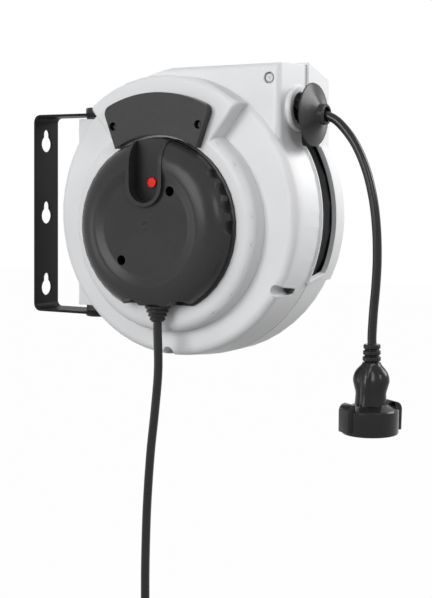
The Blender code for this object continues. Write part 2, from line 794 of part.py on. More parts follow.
def front_slot(angle):
    edge = slot_front(angle)
    low = SEAM - 5 * THROUGH
    deep = slot_deep - THROUGH
    high = slot_high + TOWER_EDGE
    return [(deep, low), (high, low), (high, edge), (deep, edge)]


def slot_section(inner, outer, width, front):
    """The section of the slot in the rear shell, or of the lip round it, with a rounded lower end."""

    def section(angle):
        past_end = CASE_RADIUS * radians(max(0, SLOT_END_ANGLE - angle)) / (SLOT_END_LENGTH + width)
        back = SEAM - (SEAM + SLOT_BEHIND + width) * sqrt(max(0, 1 - past_end**2))
        return [(inner, back), (outer, back), (outer, front), (inner, front)]

    return section


join(front_shell, tool(part_turned(front_lip, lip_end_angle, SLOT_LIP_TOP_ANGLE, 12), reel_frame))

mouth_at = (0, MOUTH_UP, MOUTH_FORWARD)
lip_outer = MOUTH_RADIUS + MOUTH_LIP
slant = (TOWER_SIDE_SEAM - TOWER_SIDE_FRONT) / (TOWER_FRONT - SEAM)
mouth_face = TOWER_SIDE_SEAM - slant * (MOUTH_FORWARD - SEAM)
lip_front = mouth_face + MOUTH_LIP_PROUD
mouth_lip = [
    (MOUTH_RADIUS - THROUGH, mouth_face - MOUTH_LIP_ROOT), (lip_outer, mouth_face - MOUTH_LIP_ROOT),
    (lip_outer, lip_front - MOUTH_LIP_EDGE), (lip_outer - MOUTH_LIP_EDGE, lip_front),
    (MOUTH_RADIUS - THROUGH, lip_front),
]
mouth_ring = tool(turned(mouth_lip, 24), reel_frame, mouth_at, OUTWARD)
join(front_shell, mouth_ring)

front_cavity = [(0, SEAM - 6 * THROUGH), (rim_inner, SEAM - 6 * THROUGH), (rim_inner, SEAM)]
front_cavity += arc(edge_centre, FRONT_EDGE - CASE_WALL, 0, 90, 3)
front_cavity += [(0, FRONT_SHOULDER - CASE_WALL)]
front_hollow = tool(turned(front_cavity, 24), reel_frame)
for name, x, y, seat in screw_places:
    cut(front_hollow, tool(rod(SCREW_SLEEVE, SEAM - 7 * THROUGH, big), reel_frame, (x, y, 0)))
pawl_face = CORE_FRONT + GAP + FLANGE_THICKNESS
pawl_at = (*polar(PAWL_PIVOT_RADIUS, PAWL_PIVOT_ANGLE), 0)
cut(front_hollow, tool(rod(PAWL_EYE + GAP, pawl_face, big), drum_frame, pawl_at))
cut(front_shell, front_hollow)

hollow_base = FRONT_SHOULDER - 2 * CASE_WALL - THROUGH
raised_hollow = tool(rod(RAISED_RADIUS - CASE_WALL, hollow_base, RAISED_FACE - CASE_WALL, 24), drum_frame)
cover_screws = [(1, COVER_SCREW), (-1, COVER_SCREW)]
for sign, (x, y) in cover_screws:
    boss = rod(2 * screw_hole, FRONT_SHOULDER - CASE_WALL, big)
    cut(raised_hollow, tool(boss, drum_frame, (sign * x, sign * y, 0)))
cut(front_shell, raised_hollow)

tower_hollow = tool(lofted(
    tower_outline(TOWER_SIDE_SEAM, TOWER_TOP, CASE_WALL), SEAM - 5 * THROUGH,
    tower_outline(TOWER_SIDE_FRONT, TOWER_TOP, CASE_WALL), TOWER_FRONT - CASE_WALL,
), reel_frame)
cut(tower_hollow, tool(rod(SCREW_SLEEVE, SEAM - 7 * THROUGH, big), reel_frame, (*tower_screw, 0)))
cut(front_shell, tower_hollow)

mouth_back = mouth_face - MOUTH_LIP_ROOT - 3 * THROUGH
mouth_hole = tool(rod(MOUTH_RADIUS, mouth_back, big, 24), reel_frame, mouth_at, OUTWARD)
neck_forward = slot_front(SLOT_TOP_ANGLE)
neck_back = 8 * THROUGH - SEAM
neck_outline = [
    (neck_back, NECK_FOOT_UP), (-SEAM - SLOT_FRONT_STEP, NECK_FOOT_UP), (-neck_forward, CASE_RADIUS / 2),
    (-neck_forward, MOUTH_UP), (neck_back, MOUTH_UP),
]
neck = tool(prism(neck_outline, mouth_back - THROUGH, big), reel_frame, turn=OUTWARD)
cut(front_shell, mouth_hole, neck)
cut(front_shell, tool(part_turned(front_slot, end_angle, SLOT_TOP_ANGLE, 13), reel_frame))
cut(front_shell, tool(rod(HUB_HOLE, FRONT_SHOULDER, big, 24), drum_frame))
for name, x, y, seat in screw_places:
    cut(front_shell, tool(rod(SCREW_CHANNEL, seat, big), reel_frame, (x, y, 0)))
    cut(front_shell, tool(rod(screw_hole, SEAM - 7 * THROUGH, seat + THROUGH, 10), reel_frame, (x, y, 0)))
    length = seat + GAP - screw_tip
    screw(name, reel_frame, (x, y, seat + GAP), SCREW_HEAD, SCREW_HEAD_HEIGHT, SCREW_SHANK, length, STEEL)
cut(front_shell, tool(block((-big, -big, -big), (big, big, front_edge)), reel_frame))

# Rear shell: rim, ledge, spring housing, swivel spine, the rest of the tower and the cord slot
rear_shoulder = -REAR_DEPTH
rear_centre = (CASE_RADIUS - REAR_EDGE, rear_shoulder + REAR_EDGE)
rear_body = [(0, SEAM + 4 * THROUGH), (CASE_RADIUS, SEAM + 4 * THROUGH)]
rear_body += arc(rear_centre, REAR_EDGE, 0, -90, 4)
rear_body += [(0, rear_shoulder)]
rear_shell = piece("rear_shell", turned(rear_body, RIM_STEPS), reel_frame, PALE_GREY)
ledge = [(rear_centre[0], SEAM + THROUGH), (CASE_RADIUS - GAP, SEAM + THROUGH)]
ledge += arc((CASE_RADIUS - LEDGE_EDGE, LEDGE_EDGE - LEDGE_BEHIND), LEDGE_EDGE - GAP, 0, -90, 3)
ledge += [(rear_centre[0], GAP - LEDGE_BEHIND)]
join(rear_shell, tool(part_turned(ledge, LEDGE_START, LEDGE_END, 14), reel_frame))
housing_back = -SPRING_HOUSING_DEPTH
housing_edge = (SPRING_HOUSING_RADIUS - SPRING_HOUSING_EDGE, housing_back + SPRING_HOUSING_EDGE)
housing = [(0, rear_shoulder + CASE_WALL / 2), (SPRING_HOUSING_RADIUS, rear_shoulder + CASE_WALL / 2)]
housing += arc(housing_edge, SPRING_HOUSING_EDGE, 0, -90, 3)
housing += [(0, housing_back)]
join(rear_shell, tool(turned(housing, 28), drum_frame))
spine_left = PIVOT_X - SPINE_OVERHANG
spine = block((spine_left, -SPINE_HALF_HEIGHT, -SPINE_BEHIND),
              (spine_left + SPINE_DEPTH, SPINE_HALF_HEIGHT, SEAM + 3 * THROUGH))
rounded(spine, SPINE_EDGE, 3, lambda p: p.x < spine_left + TINY and p.z < TINY - SPINE_BEHIND)
join(rear_shell, tool(spine, reel_frame))
rear_side = TOWER_SIDE_SEAM + TOWER_REVEAL
rear_top = TOWER_TOP + TOWER_STEP
back_top = TOWER_TOP - TOWER_REAR_FALL
tower_rear = lofted(
    tower_outline(rear_side, rear_top, 0), SEAM + 2 * THROUGH,
    tower_outline(TOWER_SIDE_REAR, back_top, 0), -TOWER_BEHIND,
)
rounded(tower_rear, TOWER_EDGE, 4, tower_face_edge(-TOWER_BEHIND))
join(rear_shell, tool(tower_rear, reel_frame))

rear_cavity = [(0, SEAM + 6 * THROUGH), (rim_inner, SEAM + 6 * THROUGH)]
rear_cavity += arc(rear_centre, REAR_EDGE - CASE_WALL, 0, -90, 3)
rear_cavity += [(0, rear_shoulder + CASE_WALL)]
rear_hollow = tool(turned(rear_cavity, 28), reel_frame)
boss_end = -SCREW_BOSS_BEHIND
for name, x, y, seat in screw_places:
    cut(rear_hollow, tool(rod(SCREW_BOSS, boss_end, SEAM + 7 * THROUGH), reel_frame, (x, y, 0)))
    join(rear_shell, tool(rod(SCREW_BOSS - 2 * GAP, boss_end, SEAM + 5 * THROUGH), reel_frame, (x, y, 0)))
cut(rear_shell, rear_hollow)
ledge_inset = degrees(CASE_WALL / CASE_RADIUS)
ledge_hollow = [
    (rear_centre[0] - THROUGH, -THROUGH), (rim_inner - GAP, -THROUGH),
    (rim_inner - GAP, CASE_WALL - LEDGE_BEHIND), (rear_centre[0] - THROUGH, CASE_WALL - LEDGE_BEHIND),
]
ledge_room = part_turned(ledge_hollow, LEDGE_START + ledge_inset, LEDGE_END - 2 * ledge_inset, 12)
cut(rear_shell, tool(ledge_room, reel_frame))
slot_rim = slot_section(slot_deep, slot_high, SLOT_LIP, SEAM + 7 * THROUGH)
join(rear_shell, tool(part_turned(slot_rim, lip_end_angle, SLOT_LIP_TOP_ANGLE, 20), reel_frame))
spring_room = SPRING_HOUSING_RADIUS - CASE_WALL
spring_front = rear_shoulder + 2 * CASE_WALL
spring_hollow = tool(rod(spring_room, housing_back + CASE_WALL, spring_front, 24), drum_frame)
shaft_boss_base = housing_back + CASE_WALL / 2
shaft_boss_top = housing_back + CASE_WALL + SHAFT_BOSS_LENGTH
cut(spring_hollow, tool(rod(SHAFT_BOSS_RADIUS, -big, big), drum_frame))
cut(rear_shell, spring_hollow)
join(rear_shell, tool(rod(SHAFT_BOSS_RADIUS - GAP, shaft_boss_base, shaft_boss_top, 20), drum_frame))
rear_tower_hollow = tool(lofted(
    tower_outline(rear_side, rear_top, CASE_WALL), SEAM + 5 * THROUGH,
    tower_outline(TOWER_SIDE_REAR, back_top, CASE_WALL), CASE_WALL - TOWER_BEHIND,
), reel_frame)
cut(rear_tower_hollow, tool(rod(SCREW_BOSS, boss_end, SEAM + 7 * THROUGH), reel_frame, (*tower_screw, 0)))
cut(rear_shell, rear_tower_hollow)
top_slope = (rear_top - back_top) / (SEAM + 2 * THROUGH + TOWER_BEHIND)
rib_top = rear_top - top_slope * (SEAM + 2 * THROUGH - boss_end) - CASE_WALL / 2
boss_rib = block((tower_screw[0] - CASE_WALL / 2, tower_screw[1], boss_end),
                 (tower_screw[0] + CASE_WALL / 2, rib_top, SEAM + 5 * THROUGH))
join(rear_shell, tool(boss_rib, reel_frame))
join(rear_shell, mouth_ring)
slot = slot_section(slot_deep - THROUGH, slot_high + TOWER_EDGE, 0, SEAM + 8 * THROUGH)
cut(rear_shell, tool(part_turned(slot, end_angle, SLOT_TOP_ANGLE, 22), reel_frame))
cut(rear_shell, mouth_hole)
bush_hole = bush_outer + GAP
for turn in (UP, DOWN):
    bore = rod(bush_hole, pin_foot - GAP, SPINE_HALF_HEIGHT + THROUGH, 18)
    cut(rear_shell, tool(bore, reel_frame, (PIVOT_X, 0, 0), turn))
shaft_hole = SHAFT_RADIUS + GAP
cut(rear_shell, tool(rod(shaft_hole, housing_back - THROUGH, shaft_boss_top + THROUGH, 18), drum_frame))
for name, x, y, seat in screw_places:
    cut(rear_shell, tool(rod(screw_hole, screw_tip - 2 * GAP, SEAM + 9 * THROUGH, 10), reel_frame, (x, y, 0)))
cut(rear_shell, tool(block((-big, -big, rear_edge), (big, big, big)), reel_frame))

# Shaft, held by a nut behind the spring housing
piece("main_shaft", rod(SHAFT_RADIUS, -SHAFT_BEHIND, SHAFT_FRONT, 18), drum_frame, STEEL)
nut_front = housing_back - GAP
nut = piece("shaft_nut", rod(NUT_RADIUS, nut_front - NUT_HEIGHT, nut_front, 6), drum_frame, STEEL)
cut(nut, tool(rod(shaft_hole, nut_front - NUT_HEIGHT - THROUGH, nut_front + THROUGH, 18), drum_frame))
piece("spring_arbor", ring(shaft_hole, ARBOR_RADIUS, -SPRING_BEHIND, SPRING_FRONT, 20), drum_frame, STEEL)

# Drum: spool with its rear flange, and a front flange with ratchet notches
bush_seat = BUSH_RADIUS + GAP
core_rear = -CORE_BEHIND
rear_face = core_rear - FLANGE_THICKNESS
spool = [
    (bush_seat, rear_face - HUB_LENGTH), (HUB_RADIUS, rear_face - HUB_LENGTH), (HUB_RADIUS, rear_face),
    (FLANGE_RADIUS, rear_face), (FLANGE_RADIUS, core_rear), (CORE_OUTER, core_rear), (CORE_OUTER, CORE_FRONT),
    (CORE_INNER, CORE_FRONT), (CORE_INNER, core_rear), (bush_seat, core_rear),
]
piece("drum_spool", turned(spool, 32), drum_frame, BLACK_PLASTIC)

flange_back = CORE_FRONT + GAP
flange_front = flange_back + FLANGE_THICKNESS
tip_angle = PAWL_REST_ANGLE - PAWL_SWING
tip_engaged = Vector(polar(PAWL_PIVOT_RADIUS, PAWL_PIVOT_ANGLE)) + Vector(polar(PAWL_LENGTH, tip_angle))
notch_angle = degrees(atan2(tip_engaged.y, tip_engaged.x)) + 1
tooth = 360 / RATCHET_TEETH
notch = tooth * RATCHET_NOTCH_SHARE
outline = []
for i in range(RATCHET_TEETH):
    start = notch_angle - notch / 2 + i * tooth
    outline.append(polar(FLANGE_RADIUS, start))
    outline.append(polar(FLANGE_RADIUS - RATCHET_DEPTH, start))
    outline.append(polar(FLANGE_RADIUS - RATCHET_DEPTH, start + notch))
    outline.append(polar(FLANGE_RADIUS, start + notch))
notched = prism(outline, flange_back, flange_front)
front_flange = piece("drum_front_flange", notched, drum_frame, BLACK_PLASTIC)
join(front_flange, tool(rod(HUB_RADIUS, flange_back + GAP, flange_front + HUB_LENGTH, 20), drum_frame))
flange_bore = rod(bush_seat, flange_back - THROUGH, flange_front + HUB_LENGTH + THROUGH, 18)
cut(front_flange, tool(flange_bore, drum_frame))
rear_bush = ring(shaft_hole, BUSH_RADIUS, rear_face - HUB_LENGTH, core_rear, 18)
piece("drum_bush_rear", rear_bush, drum_frame, WHITE_NYLON)
front_bush = ring(shaft_hole, BUSH_RADIUS, flange_back, flange_front + HUB_LENGTH, 18)
piece("drum_bush_front", front_bush, drum_frame, WHITE_NYLON)

# Mainspring: a flat strip wound from the arbor out to the spool's inner wall
strip_inner = ARBOR_RADIUS + GAP + SPRING_THICKNESS / 2
strip_outer = CORE_INNER - GAP - SPRING_THICKNESS / 2
per_turn = 12
strip = []
count = SPRING_TURNS * per_turn
for i in range(count + 1):
    radius = strip_inner + (strip_outer - strip_inner) * i / count
    strip.append((radius, 360 * i / per_turn))
inside = [polar(radius - SPRING_THICKNESS / 2, angle) for radius, angle in strip]
outside = [polar(radius + SPRING_THICKNESS / 2, angle) for radius, angle in strip]
piece("mainspring", prism(outside + inside[::-1], -SPRING_BEHIND, SPRING_FRONT), drum_frame, STEEL)

# Cord on the drum: the inner layers as one core, the outer layer as a wound cord
pack = ring(CORE_OUTER + GAP, PACK_OUTER, core_rear + GAP, CORE_FRONT - GAP, 36)
piece("cord_pack_core", pack, drum_frame, CORD_GREY)
wind_start = core_rear + CORD_RADIUS + 2 * GAP
wind = []
for i in range(WIND_TURNS * LOOP_POINTS + 1):
    x, y = polar(WIND_RADIUS, WIND_START_ANGLE - 360 * i / LOOP_POINTS)
    wind.append((x, y, wind_start + WIND_PITCH * i / LOOP_POINTS))
first_way = (Vector(wind[0]) - Vector(wind[1])).normalized()
last_way = (Vector(wind[-1]) - Vector(wind[-2])).normalized()
wind = [Vector(wind[0]) + first_way * CORD_DIAMETER, *wind, Vector(wind[-1]) + last_way * CORD_DIAMETER]
tube("cord_winding", wind, drum_frame, CORD_GREY, 1)
print("least gap in the drum winding, mm:", round(1000 * least_gap(wind, LOOP_POINTS), 2))

# Slip rings in front of the drum, with their brushes
carrier_back = flange_front + HUB_LENGTH + GAP
carrier = ring(shaft_hole + GAP, RING_INNER - GAP, carrier_back, CARRIER_FRONT, 20)
piece("slip_ring_carrier", carrier, drum_frame, DARK_GREY)
holder_front = RAISED_FACE - CASE_WALL - GAP
holder = block((HOLDER_INNER, -HOLDER_HALF_WIDTH, carrier_back),
               (HOLDER_OUTER, HOLDER_HALF_WIDTH, holder_front))
brush_holder = piece("brush_holder", holder, drum_frame, DARK_GREY)
brush_start = RING_OUTER + GAP
for i in range(3):
    low = RING_FIRST + i * RING_PITCH
    middle = low + RING_WIDTH / 2
    piece(f"slip_ring_{i + 1}", ring(RING_INNER, RING_OUTER, low, low + RING_WIDTH, 20), drum_frame, BRASS)
    brush = block((brush_start, -BRUSH_HALF_WIDTH, middle - BRUSH_HALF_HEIGHT),
                  (brush_start + BRUSH_LENGTH, BRUSH_HALF_WIDTH, middle + BRUSH_HALF_HEIGHT))
    piece(f"brush_{i + 1}", brush, drum_frame, CARBON)
    room = BRUSH_HALF_WIDTH + GAP
    headroom = BRUSH_HALF_HEIGHT + GAP
    pocket = block((RING_OUTER, -room, middle - headroom),
                   (brush_start + BRUSH_LENGTH + GAP, room, middle + headroom))
    cut(brush_holder, tool(pocket, drum_frame))

# Pawl that drops into a ratchet notch
pawl_frame = frame("pawl_frame", drum_frame, pawl_at)
lever = arc((0, 0), PAWL_EYE, 60, 300, 14)
lever += [(PAWL_LENGTH - PAWL_NOSE, -PAWL_TIP), (PAWL_LENGTH, -PAWL_TIP / 2)]
lever += [(PAWL_LENGTH, PAWL_TIP / 2), (PAWL_LENGTH - PAWL_NOSE, PAWL_TIP)]
pawl = piece("pawl", prism(lever, flange_back + GAP, flange_front - GAP), pawl_frame, STEEL,
             turn=(0, 0, radians(PAWL_REST_ANGLE)))
cut(pawl, tool(rod(PAWL_PIN + GAP, flange_back - THROUGH, flange_front + THROUGH, 16), pawl_frame))
pin_base = flange_back
pin = [
    (0, pin_base - PAWL_PIN_HEAD_HEIGHT), (PAWL_PIN_HEAD, pin_base - PAWL_PIN_HEAD_HEIGHT),
    (PAWL_PIN_HEAD, pin_base), (PAWL_PIN, pin_base), (PAWL_PIN, pin_base + PAWL_PIN_LENGTH),
    (0, pin_base + PAWL_PIN_LENGTH),
]
piece("pawl_pin", turned(pin, 16), drum_frame, STEEL, pawl_at)
pin_hole = rod(PAWL_PIN + GAP, pawl_face - THROUGH, pin_base + PAWL_PIN_LENGTH + GAP, 16)
cut(front_shell, tool(pin_hole, drum_frame, pawl_at))


def cover_profile(proud):
    """The cover's outer section from its base to its crest, or one that stands proud of it."""
    lip_top = COVER_BASE + COVER_LIP_HEIGHT
    section = [(0, COVER_BASE), (COVER_LIP_RADIUS + proud, COVER_BASE), (COVER_LIP_RADIUS + proud, lip_top)]
    section += [(COVER_RADIUS + proud, lip_top + 2 * GAP)]
    across = COVER_RADIUS - COVER_CREST
    rise = COVER_FACE - COVER_SKIRT
    section += oval((COVER_CREST, COVER_SKIRT), across + proud, rise + proud, 0, 90, 5)
    return section


# Connection cover over the slip rings, with a dished face
sunk = COVER_FACE - COVER_FACE_SINK
dish_middle = (COVER_CREST + COVER_FACE_RADIUS) / 2
dish_quarter = (COVER_CREST - COVER_FACE_RADIUS) / 4
outer_cover = cover_profile(0)
outer_cover += [
    (dish_middle + dish_quarter, COVER_FACE - COVER_FACE_SINK / 6),
    (dish_middle, COVER_FACE - COVER_FACE_SINK / 2), (dish_middle - dish_quarter, sunk + COVER_FACE_SINK / 6),
    (COVER_FACE_RADIUS, sunk), (COVER_DIMPLE, sunk),
    (COVER_DIMPLE - COVER_DIMPLE_SINK, sunk - COVER_DIMPLE_SINK), (0, sunk - COVER_DIMPLE_SINK),
]
cover = piece("connection_cover", turned(outer_cover, 40), drum_frame, BLACK_PLASTIC)
cut(cover, tool(block((-big, -big, 0), (big, -COVER_CUT_DOWN, big)), drum_frame))
for sign in (-1, 1):
    scoop = rod(COVER_SCOOP, COVER_BASE + COVER_LIP_HEIGHT, big, 20)
    cut(cover, tool(scoop, drum_frame, (LEAD_SIDE + sign * COVER_SCOOP_SPREAD, -COVER_SCOOP_DOWN, 0)))
inner_radius = COVER_RADIUS - COVER_SKIRT_WALL
inner_face = sunk - COVER_WALL
inner_cover = [(0, RAISED_FACE - THROUGH), (inner_radius, RAISED_FACE - THROUGH)]
inner_rise = inner_face - COVER_SKIRT
inner_cover += oval((COVER_CREST, COVER_SKIRT), inner_radius - COVER_CREST, inner_rise, 0, 90, 3)
inner_cover += [(0, inner_face)]
chamber = tool(turned(inner_cover, 20), drum_frame)
cut(chamber, tool(block((-big, -big, 0), (big, -COVER_FLOOR_DOWN, big)), drum_frame))
cut(cover, chamber)


def recess_outline(half_width):
    """A U that is open at the top of the cover."""
    top = 2 * COVER_RADIUS
    return [*arc((0, RECESS_UP), half_width, 180, 360, 12), (half_width, top), (-half_width, top)]


recess_back = RECESS_FLOOR - RECESS_FLOOR_THICKNESS
lip_solid = tool(prism(recess_outline(RECESS_HALF_WIDTH + RECESS_LIP), recess_back, big), drum_frame)
proud_cover = cover_profile(RECESS_LIP_PROUD)
proud_cover += [(0, COVER_FACE + RECESS_LIP_PROUD)]
keep(lip_solid, tool(turned(proud_cover, 40), drum_frame))
join(cover, lip_solid)
cut(cover, tool(prism(recess_outline(RECESS_HALF_WIDTH), RECESS_FLOOR, big), drum_frame))
button_at = (0, BUTTON_UP, 0)
cut(cover, tool(rod(BUTTON_RADIUS + GAP, RAISED_FACE, big), drum_frame, button_at))
for angle in GRIP_ANGLES:
    for grip_angle in (angle, 180 - angle):
        at = (*polar(COVER_RADIUS + GRIP_RADIUS - GRIP_DEPTH, grip_angle), 0)
        grip_base = COVER_BASE + COVER_LIP_HEIGHT + 2 * GAP
        cut(cover, tool(rod(GRIP_RADIUS, grip_base, big, 12), drum_frame, at))
for label, (sign, (x, y)) in zip(("upper", "lower"), cover_screws):
    at = (sign * x, sign * y, 0)
    join(cover, tool(rod(COVER_BOSS, COVER_BASE + GAP, inner_face + COVER_WALL / 2, 12), drum_frame, at))
    cut(cover, tool(rod(COVER_SCREW_HOLE, COVER_SCREW_SEAT, big, 14), drum_frame, at))
    cut(cover, tool(rod(screw_hole, RAISED_FACE, COVER_SCREW_SEAT + THROUGH, 10), drum_frame, at))
    cut(front_shell, tool(rod(screw_hole, RAISED_FACE - COVER_SCREW_BITE - 2 * GAP, big, 10), drum_frame, at))
    head_at = (at[0], at[1], COVER_SCREW_SEAT + GAP)
    length = COVER_SCREW_SEAT + GAP - RAISED_FACE + COVER_SCREW_BITE
    screw("cover_screw_" + label, drum_frame, head_at, COVER_SCREW_HOLE - 2 * GAP, COVER_HEAD_HEIGHT,
          SCREW_SHANK, length, STEEL)

# Thermal cut-out in a window of the front shell, with its reset button
collar_top = recess_back - 4 * GAP
flange_top = COVER_BASE + CUTOUT_FLANGE
body = block((-CUTOUT_HALF_WIDTH, -CUTOUT_HALF_HEIGHT, CUTOUT_BACK),
             (CUTOUT_HALF_WIDTH, CUTOUT_HALF_HEIGHT, flange_top))
cutout = piece("thermal_cutout", body, drum_frame, DARK_GREY, button_at)
flange_width = CUTOUT_HALF_WIDTH + CUTOUT_FLANGE_EDGE
flange_height = CUTOUT_HALF_HEIGHT + CUTOUT_FLANGE_EDGE
flange = block((-flange_width, -flange_height, COVER_BASE), (flange_width, flange_height, flange_top - GAP))
join(cutout, tool(flange, drum_frame, button_at))
join(cutout, tool(rod(CUTOUT_COLLAR, COVER_BASE + GAP, collar_top), drum_frame, button_at))
button_foot = flange_top + BUTTON_TRAVEL + 3 * GAP
cut(cutout, tool(rod(BUTTON_RADIUS + GAP, flange_top + GAP, big), drum_frame, button_at))
window = block((-CUTOUT_HALF_WIDTH - GAP, -CUTOUT_HALF_HEIGHT - GAP, FRONT_SHOULDER),
               (CUTOUT_HALF_WIDTH + GAP, CUTOUT_HALF_HEIGHT + GAP, big))
cut(front_shell, tool(window, drum_frame, button_at))
button_frame = frame("button_frame", drum_frame, button_at)
button = [
    (0, button_foot), (BUTTON_RADIUS, button_foot),
    *arc((BUTTON_RADIUS - BUTTON_EDGE, BUTTON_FRONT - BUTTON_EDGE), BUTTON_EDGE, 0, 90, 3), (0, BUTTON_FRONT),
]
piece("reset_button", turned(button, 18), button_frame, RED_PLASTIC)

# Arched plate above the cover
corner = polar(PLATE_OUTER - PLATE_CORNER, 90 - PLATE_CORNER_ANGLE)
right_side = arc(corner, PLATE_CORNER, -PLATE_SIDE_LEAN, 90 - PLATE_CORNER_ANGLE, 5)
outer_arc = arc((0, 0), PLATE_OUTER, 90 - PLATE_CORNER_ANGLE + 3, 90 + PLATE_CORNER_ANGLE - 3, 12)
left_side = [(-x, y) for x, y in reversed(right_side)]
inner_arc = arc((0, 0), PLATE_INNER, 90 + PLATE_INNER_ANGLE, 90 - PLATE_INNER_ANGLE, 16)
plate_shape = prism(right_side + outer_arc + left_side + inner_arc, COVER_BASE, PLATE_FACE)
rounded(plate_shape, PLATE_BEVEL, 2, lambda p: p.z > PLATE_FACE - TINY)
plate = piece("arched_plate", plate_shape, drum_frame, BLACK_PLASTIC)
small_hole = SMALL_SHANK + GAP
for label, sign in (("left", -1), ("right", 1)):
    x, y = polar(PLATE_SCREW_RADIUS, 90 - sign * PLATE_SCREW_ANGLE)
    cut(plate, tool(rod(SMALL_HEAD + GAP, PLATE_SCREW_SEAT, big, 16), drum_frame, (x, y, 0)))
    cut(plate, tool(rod(small_hole, RAISED_FACE, PLATE_SCREW_SEAT + THROUGH, 10), drum_frame, (x, y, 0)))
    bite = RAISED_FACE - PLATE_SCREW_BITE
    cut(front_shell, tool(rod(small_hole, bite - 2 * GAP, big, 10), drum_frame, (x, y, 0)))
    screw("plate_screw_" + label, drum_frame, (x, y, PLATE_SCREW_SEAT + GAP), SMALL_HEAD, SMALL_HEAD_HEIGHT,
          SMALL_SHANK, PLATE_SCREW_SEAT + GAP - bite, STEEL)

# Strain relief: a neck in the cover's floor and four shrinking rings below it
lead_at = (LEAD_SIDE, 0, LEAD_FORWARD)
relief_bore = rod(RELIEF_NECK + GAP, COVER_FLOOR_DOWN - 3 * THROUGH, COVER_CUT_DOWN + THROUGH)
cut(cover, tool(relief_bore, drum_frame, lead_at, DOWN))
relief = [(0, RELIEF_TOP_DOWN), (RELIEF_NECK, RELIEF_TOP_DOWN), (RELIEF_NECK, COVER_CUT_DOWN + GAP)]
ring_top = COVER_CUT_DOWN + GAP
for radius in RELIEF_RADII:
    waist = RELIEF_WAIST_SHARE * radius
    ring_foot = ring_top + RELIEF_RING
    ring_top = ring_foot + RELIEF_GROOVE
    relief += [(radius, ring_foot - RELIEF_RING), (radius, ring_foot - GAP)]
    relief += [(waist, ring_foot), (waist, ring_top)]
relief_end = ring_top
relief += [(0, relief_end)]
piece("strain_relief", turned(relief, 14), drum_frame, BLACK_RUBBER, lead_at, DOWN)

# Supply lead: a hanging stretch, then a tied coil with the plug at its end
lead_top = -DRUM_DROP - relief_end - GAP
lead_end = lead_top - LEAD_HANG
coil_x = LEAD_SIDE - LEAD_DRIFT
stretch = [
    (LEAD_SIDE, lead_top), (LEAD_SIDE, lead_top - CORD_DIAMETER), (LEAD_SIDE + 0.0008, lead_top - 0.045),
    (LEAD_SIDE - LEAD_DRIFT * 0.22, lead_top - 0.085), (LEAD_SIDE - LEAD_DRIFT * 0.57, lead_top - 0.125),
    (LEAD_SIDE - LEAD_DRIFT * 0.85, lead_top - 0.175), (LEAD_SIDE - LEAD_DRIFT * 0.98, lead_top - 0.225),
    (coil_x, lead_end + 2 * CORD_DIAMETER), (coil_x, lead_end),
]
stations = [(x, y, LEAD_FORWARD) for x, y in stretch]
tube("supply_cord", smooth_route(stations, 2.2 * CORD_DIAMETER), reel_frame, CORD_GREY, 3)

bend_top = lead_end - GAP - CORD_DIAMETER
coil_y = bend_top - 2 * COIL_RADIUS * sin(radians(180 - COIL_ENTRY))
coil = [(coil_x, lead_end - GAP, LEAD_FORWARD), (coil_x, bend_top, LEAD_FORWARD)]
bend = arc((coil_x - COIL_RADIUS, bend_top), COIL_RADIUS, 0, COIL_ENTRY - 180, 5)
coil += [(x, y, LEAD_FORWARD) for x, y in bend[1:-1]]
reverse = COIL_DEGREES / 2
step = 360 / LOOP_POINTS
for i in range(int(COIL_DEGREES / step) + 1):
    swept = i * step
    inward = min(swept, COIL_DEGREES - swept)
    radius = COIL_RADIUS - COIL_PITCH * inward / 360
    climb = min(1, max(0, (swept - reverse) / COIL_CLIMB + 0.5))
    x, y = polar(radius, COIL_ENTRY + swept)
    coil.append((coil_x + x, coil_y + y, LEAD_FORWARD - COIL_PITCH * climb * climb * (3 - 2 * climb)))
tail = Vector((coil[-1][0], coil[-1][1] - LEAD_TAIL, coil[-1][2]))
coil += [tail + Vector((0, LEAD_TAIL / 2, 0)), tail]
tube("supply_coil", coil, reel_frame, CORD_GREY, 1)
print("least gap in the supply coil, mm:", round(1000 * least_gap(coil, LOOP_POINTS), 2))

to_top = 450 - COIL_ENTRY
radii = []
for turn_count in range(4):
    swept = to_top + 360 * turn_count
    radii.append(COIL_RADIUS - COIL_PITCH * min(swept, COIL_DEGREES - swept) / 360)
tie_low = min(radii) - CORD_RADIUS - TIE_ROOM
tie_high = max(radii) + CORD_RADIUS + TIE_ROOM
tie_back = LEAD_FORWARD - COIL_PITCH - CORD_RADIUS - TIE_ROOM
tie_front = LEAD_FORWARD + CORD_RADIUS + TIE_ROOM
tie_shape = block((-TIE_WIDTH / 2, tie_low - TIE_THICKNESS, tie_back - TIE_THICKNESS),
                  (TIE_WIDTH / 2, tie_high + TIE_THICKNESS, tie_front + TIE_THICKNESS))
tie = piece("coil_tie", tie_shape, reel_frame, BLACK_PLASTIC, (coil_x, coil_y, 0))
tie_room = block((-TIE_WIDTH, tie_low, tie_back), (TIE_WIDTH, tie_high, tie_front))
cut(tie, tool(tie_room, reel_frame, (coil_x, coil_y, 0)))

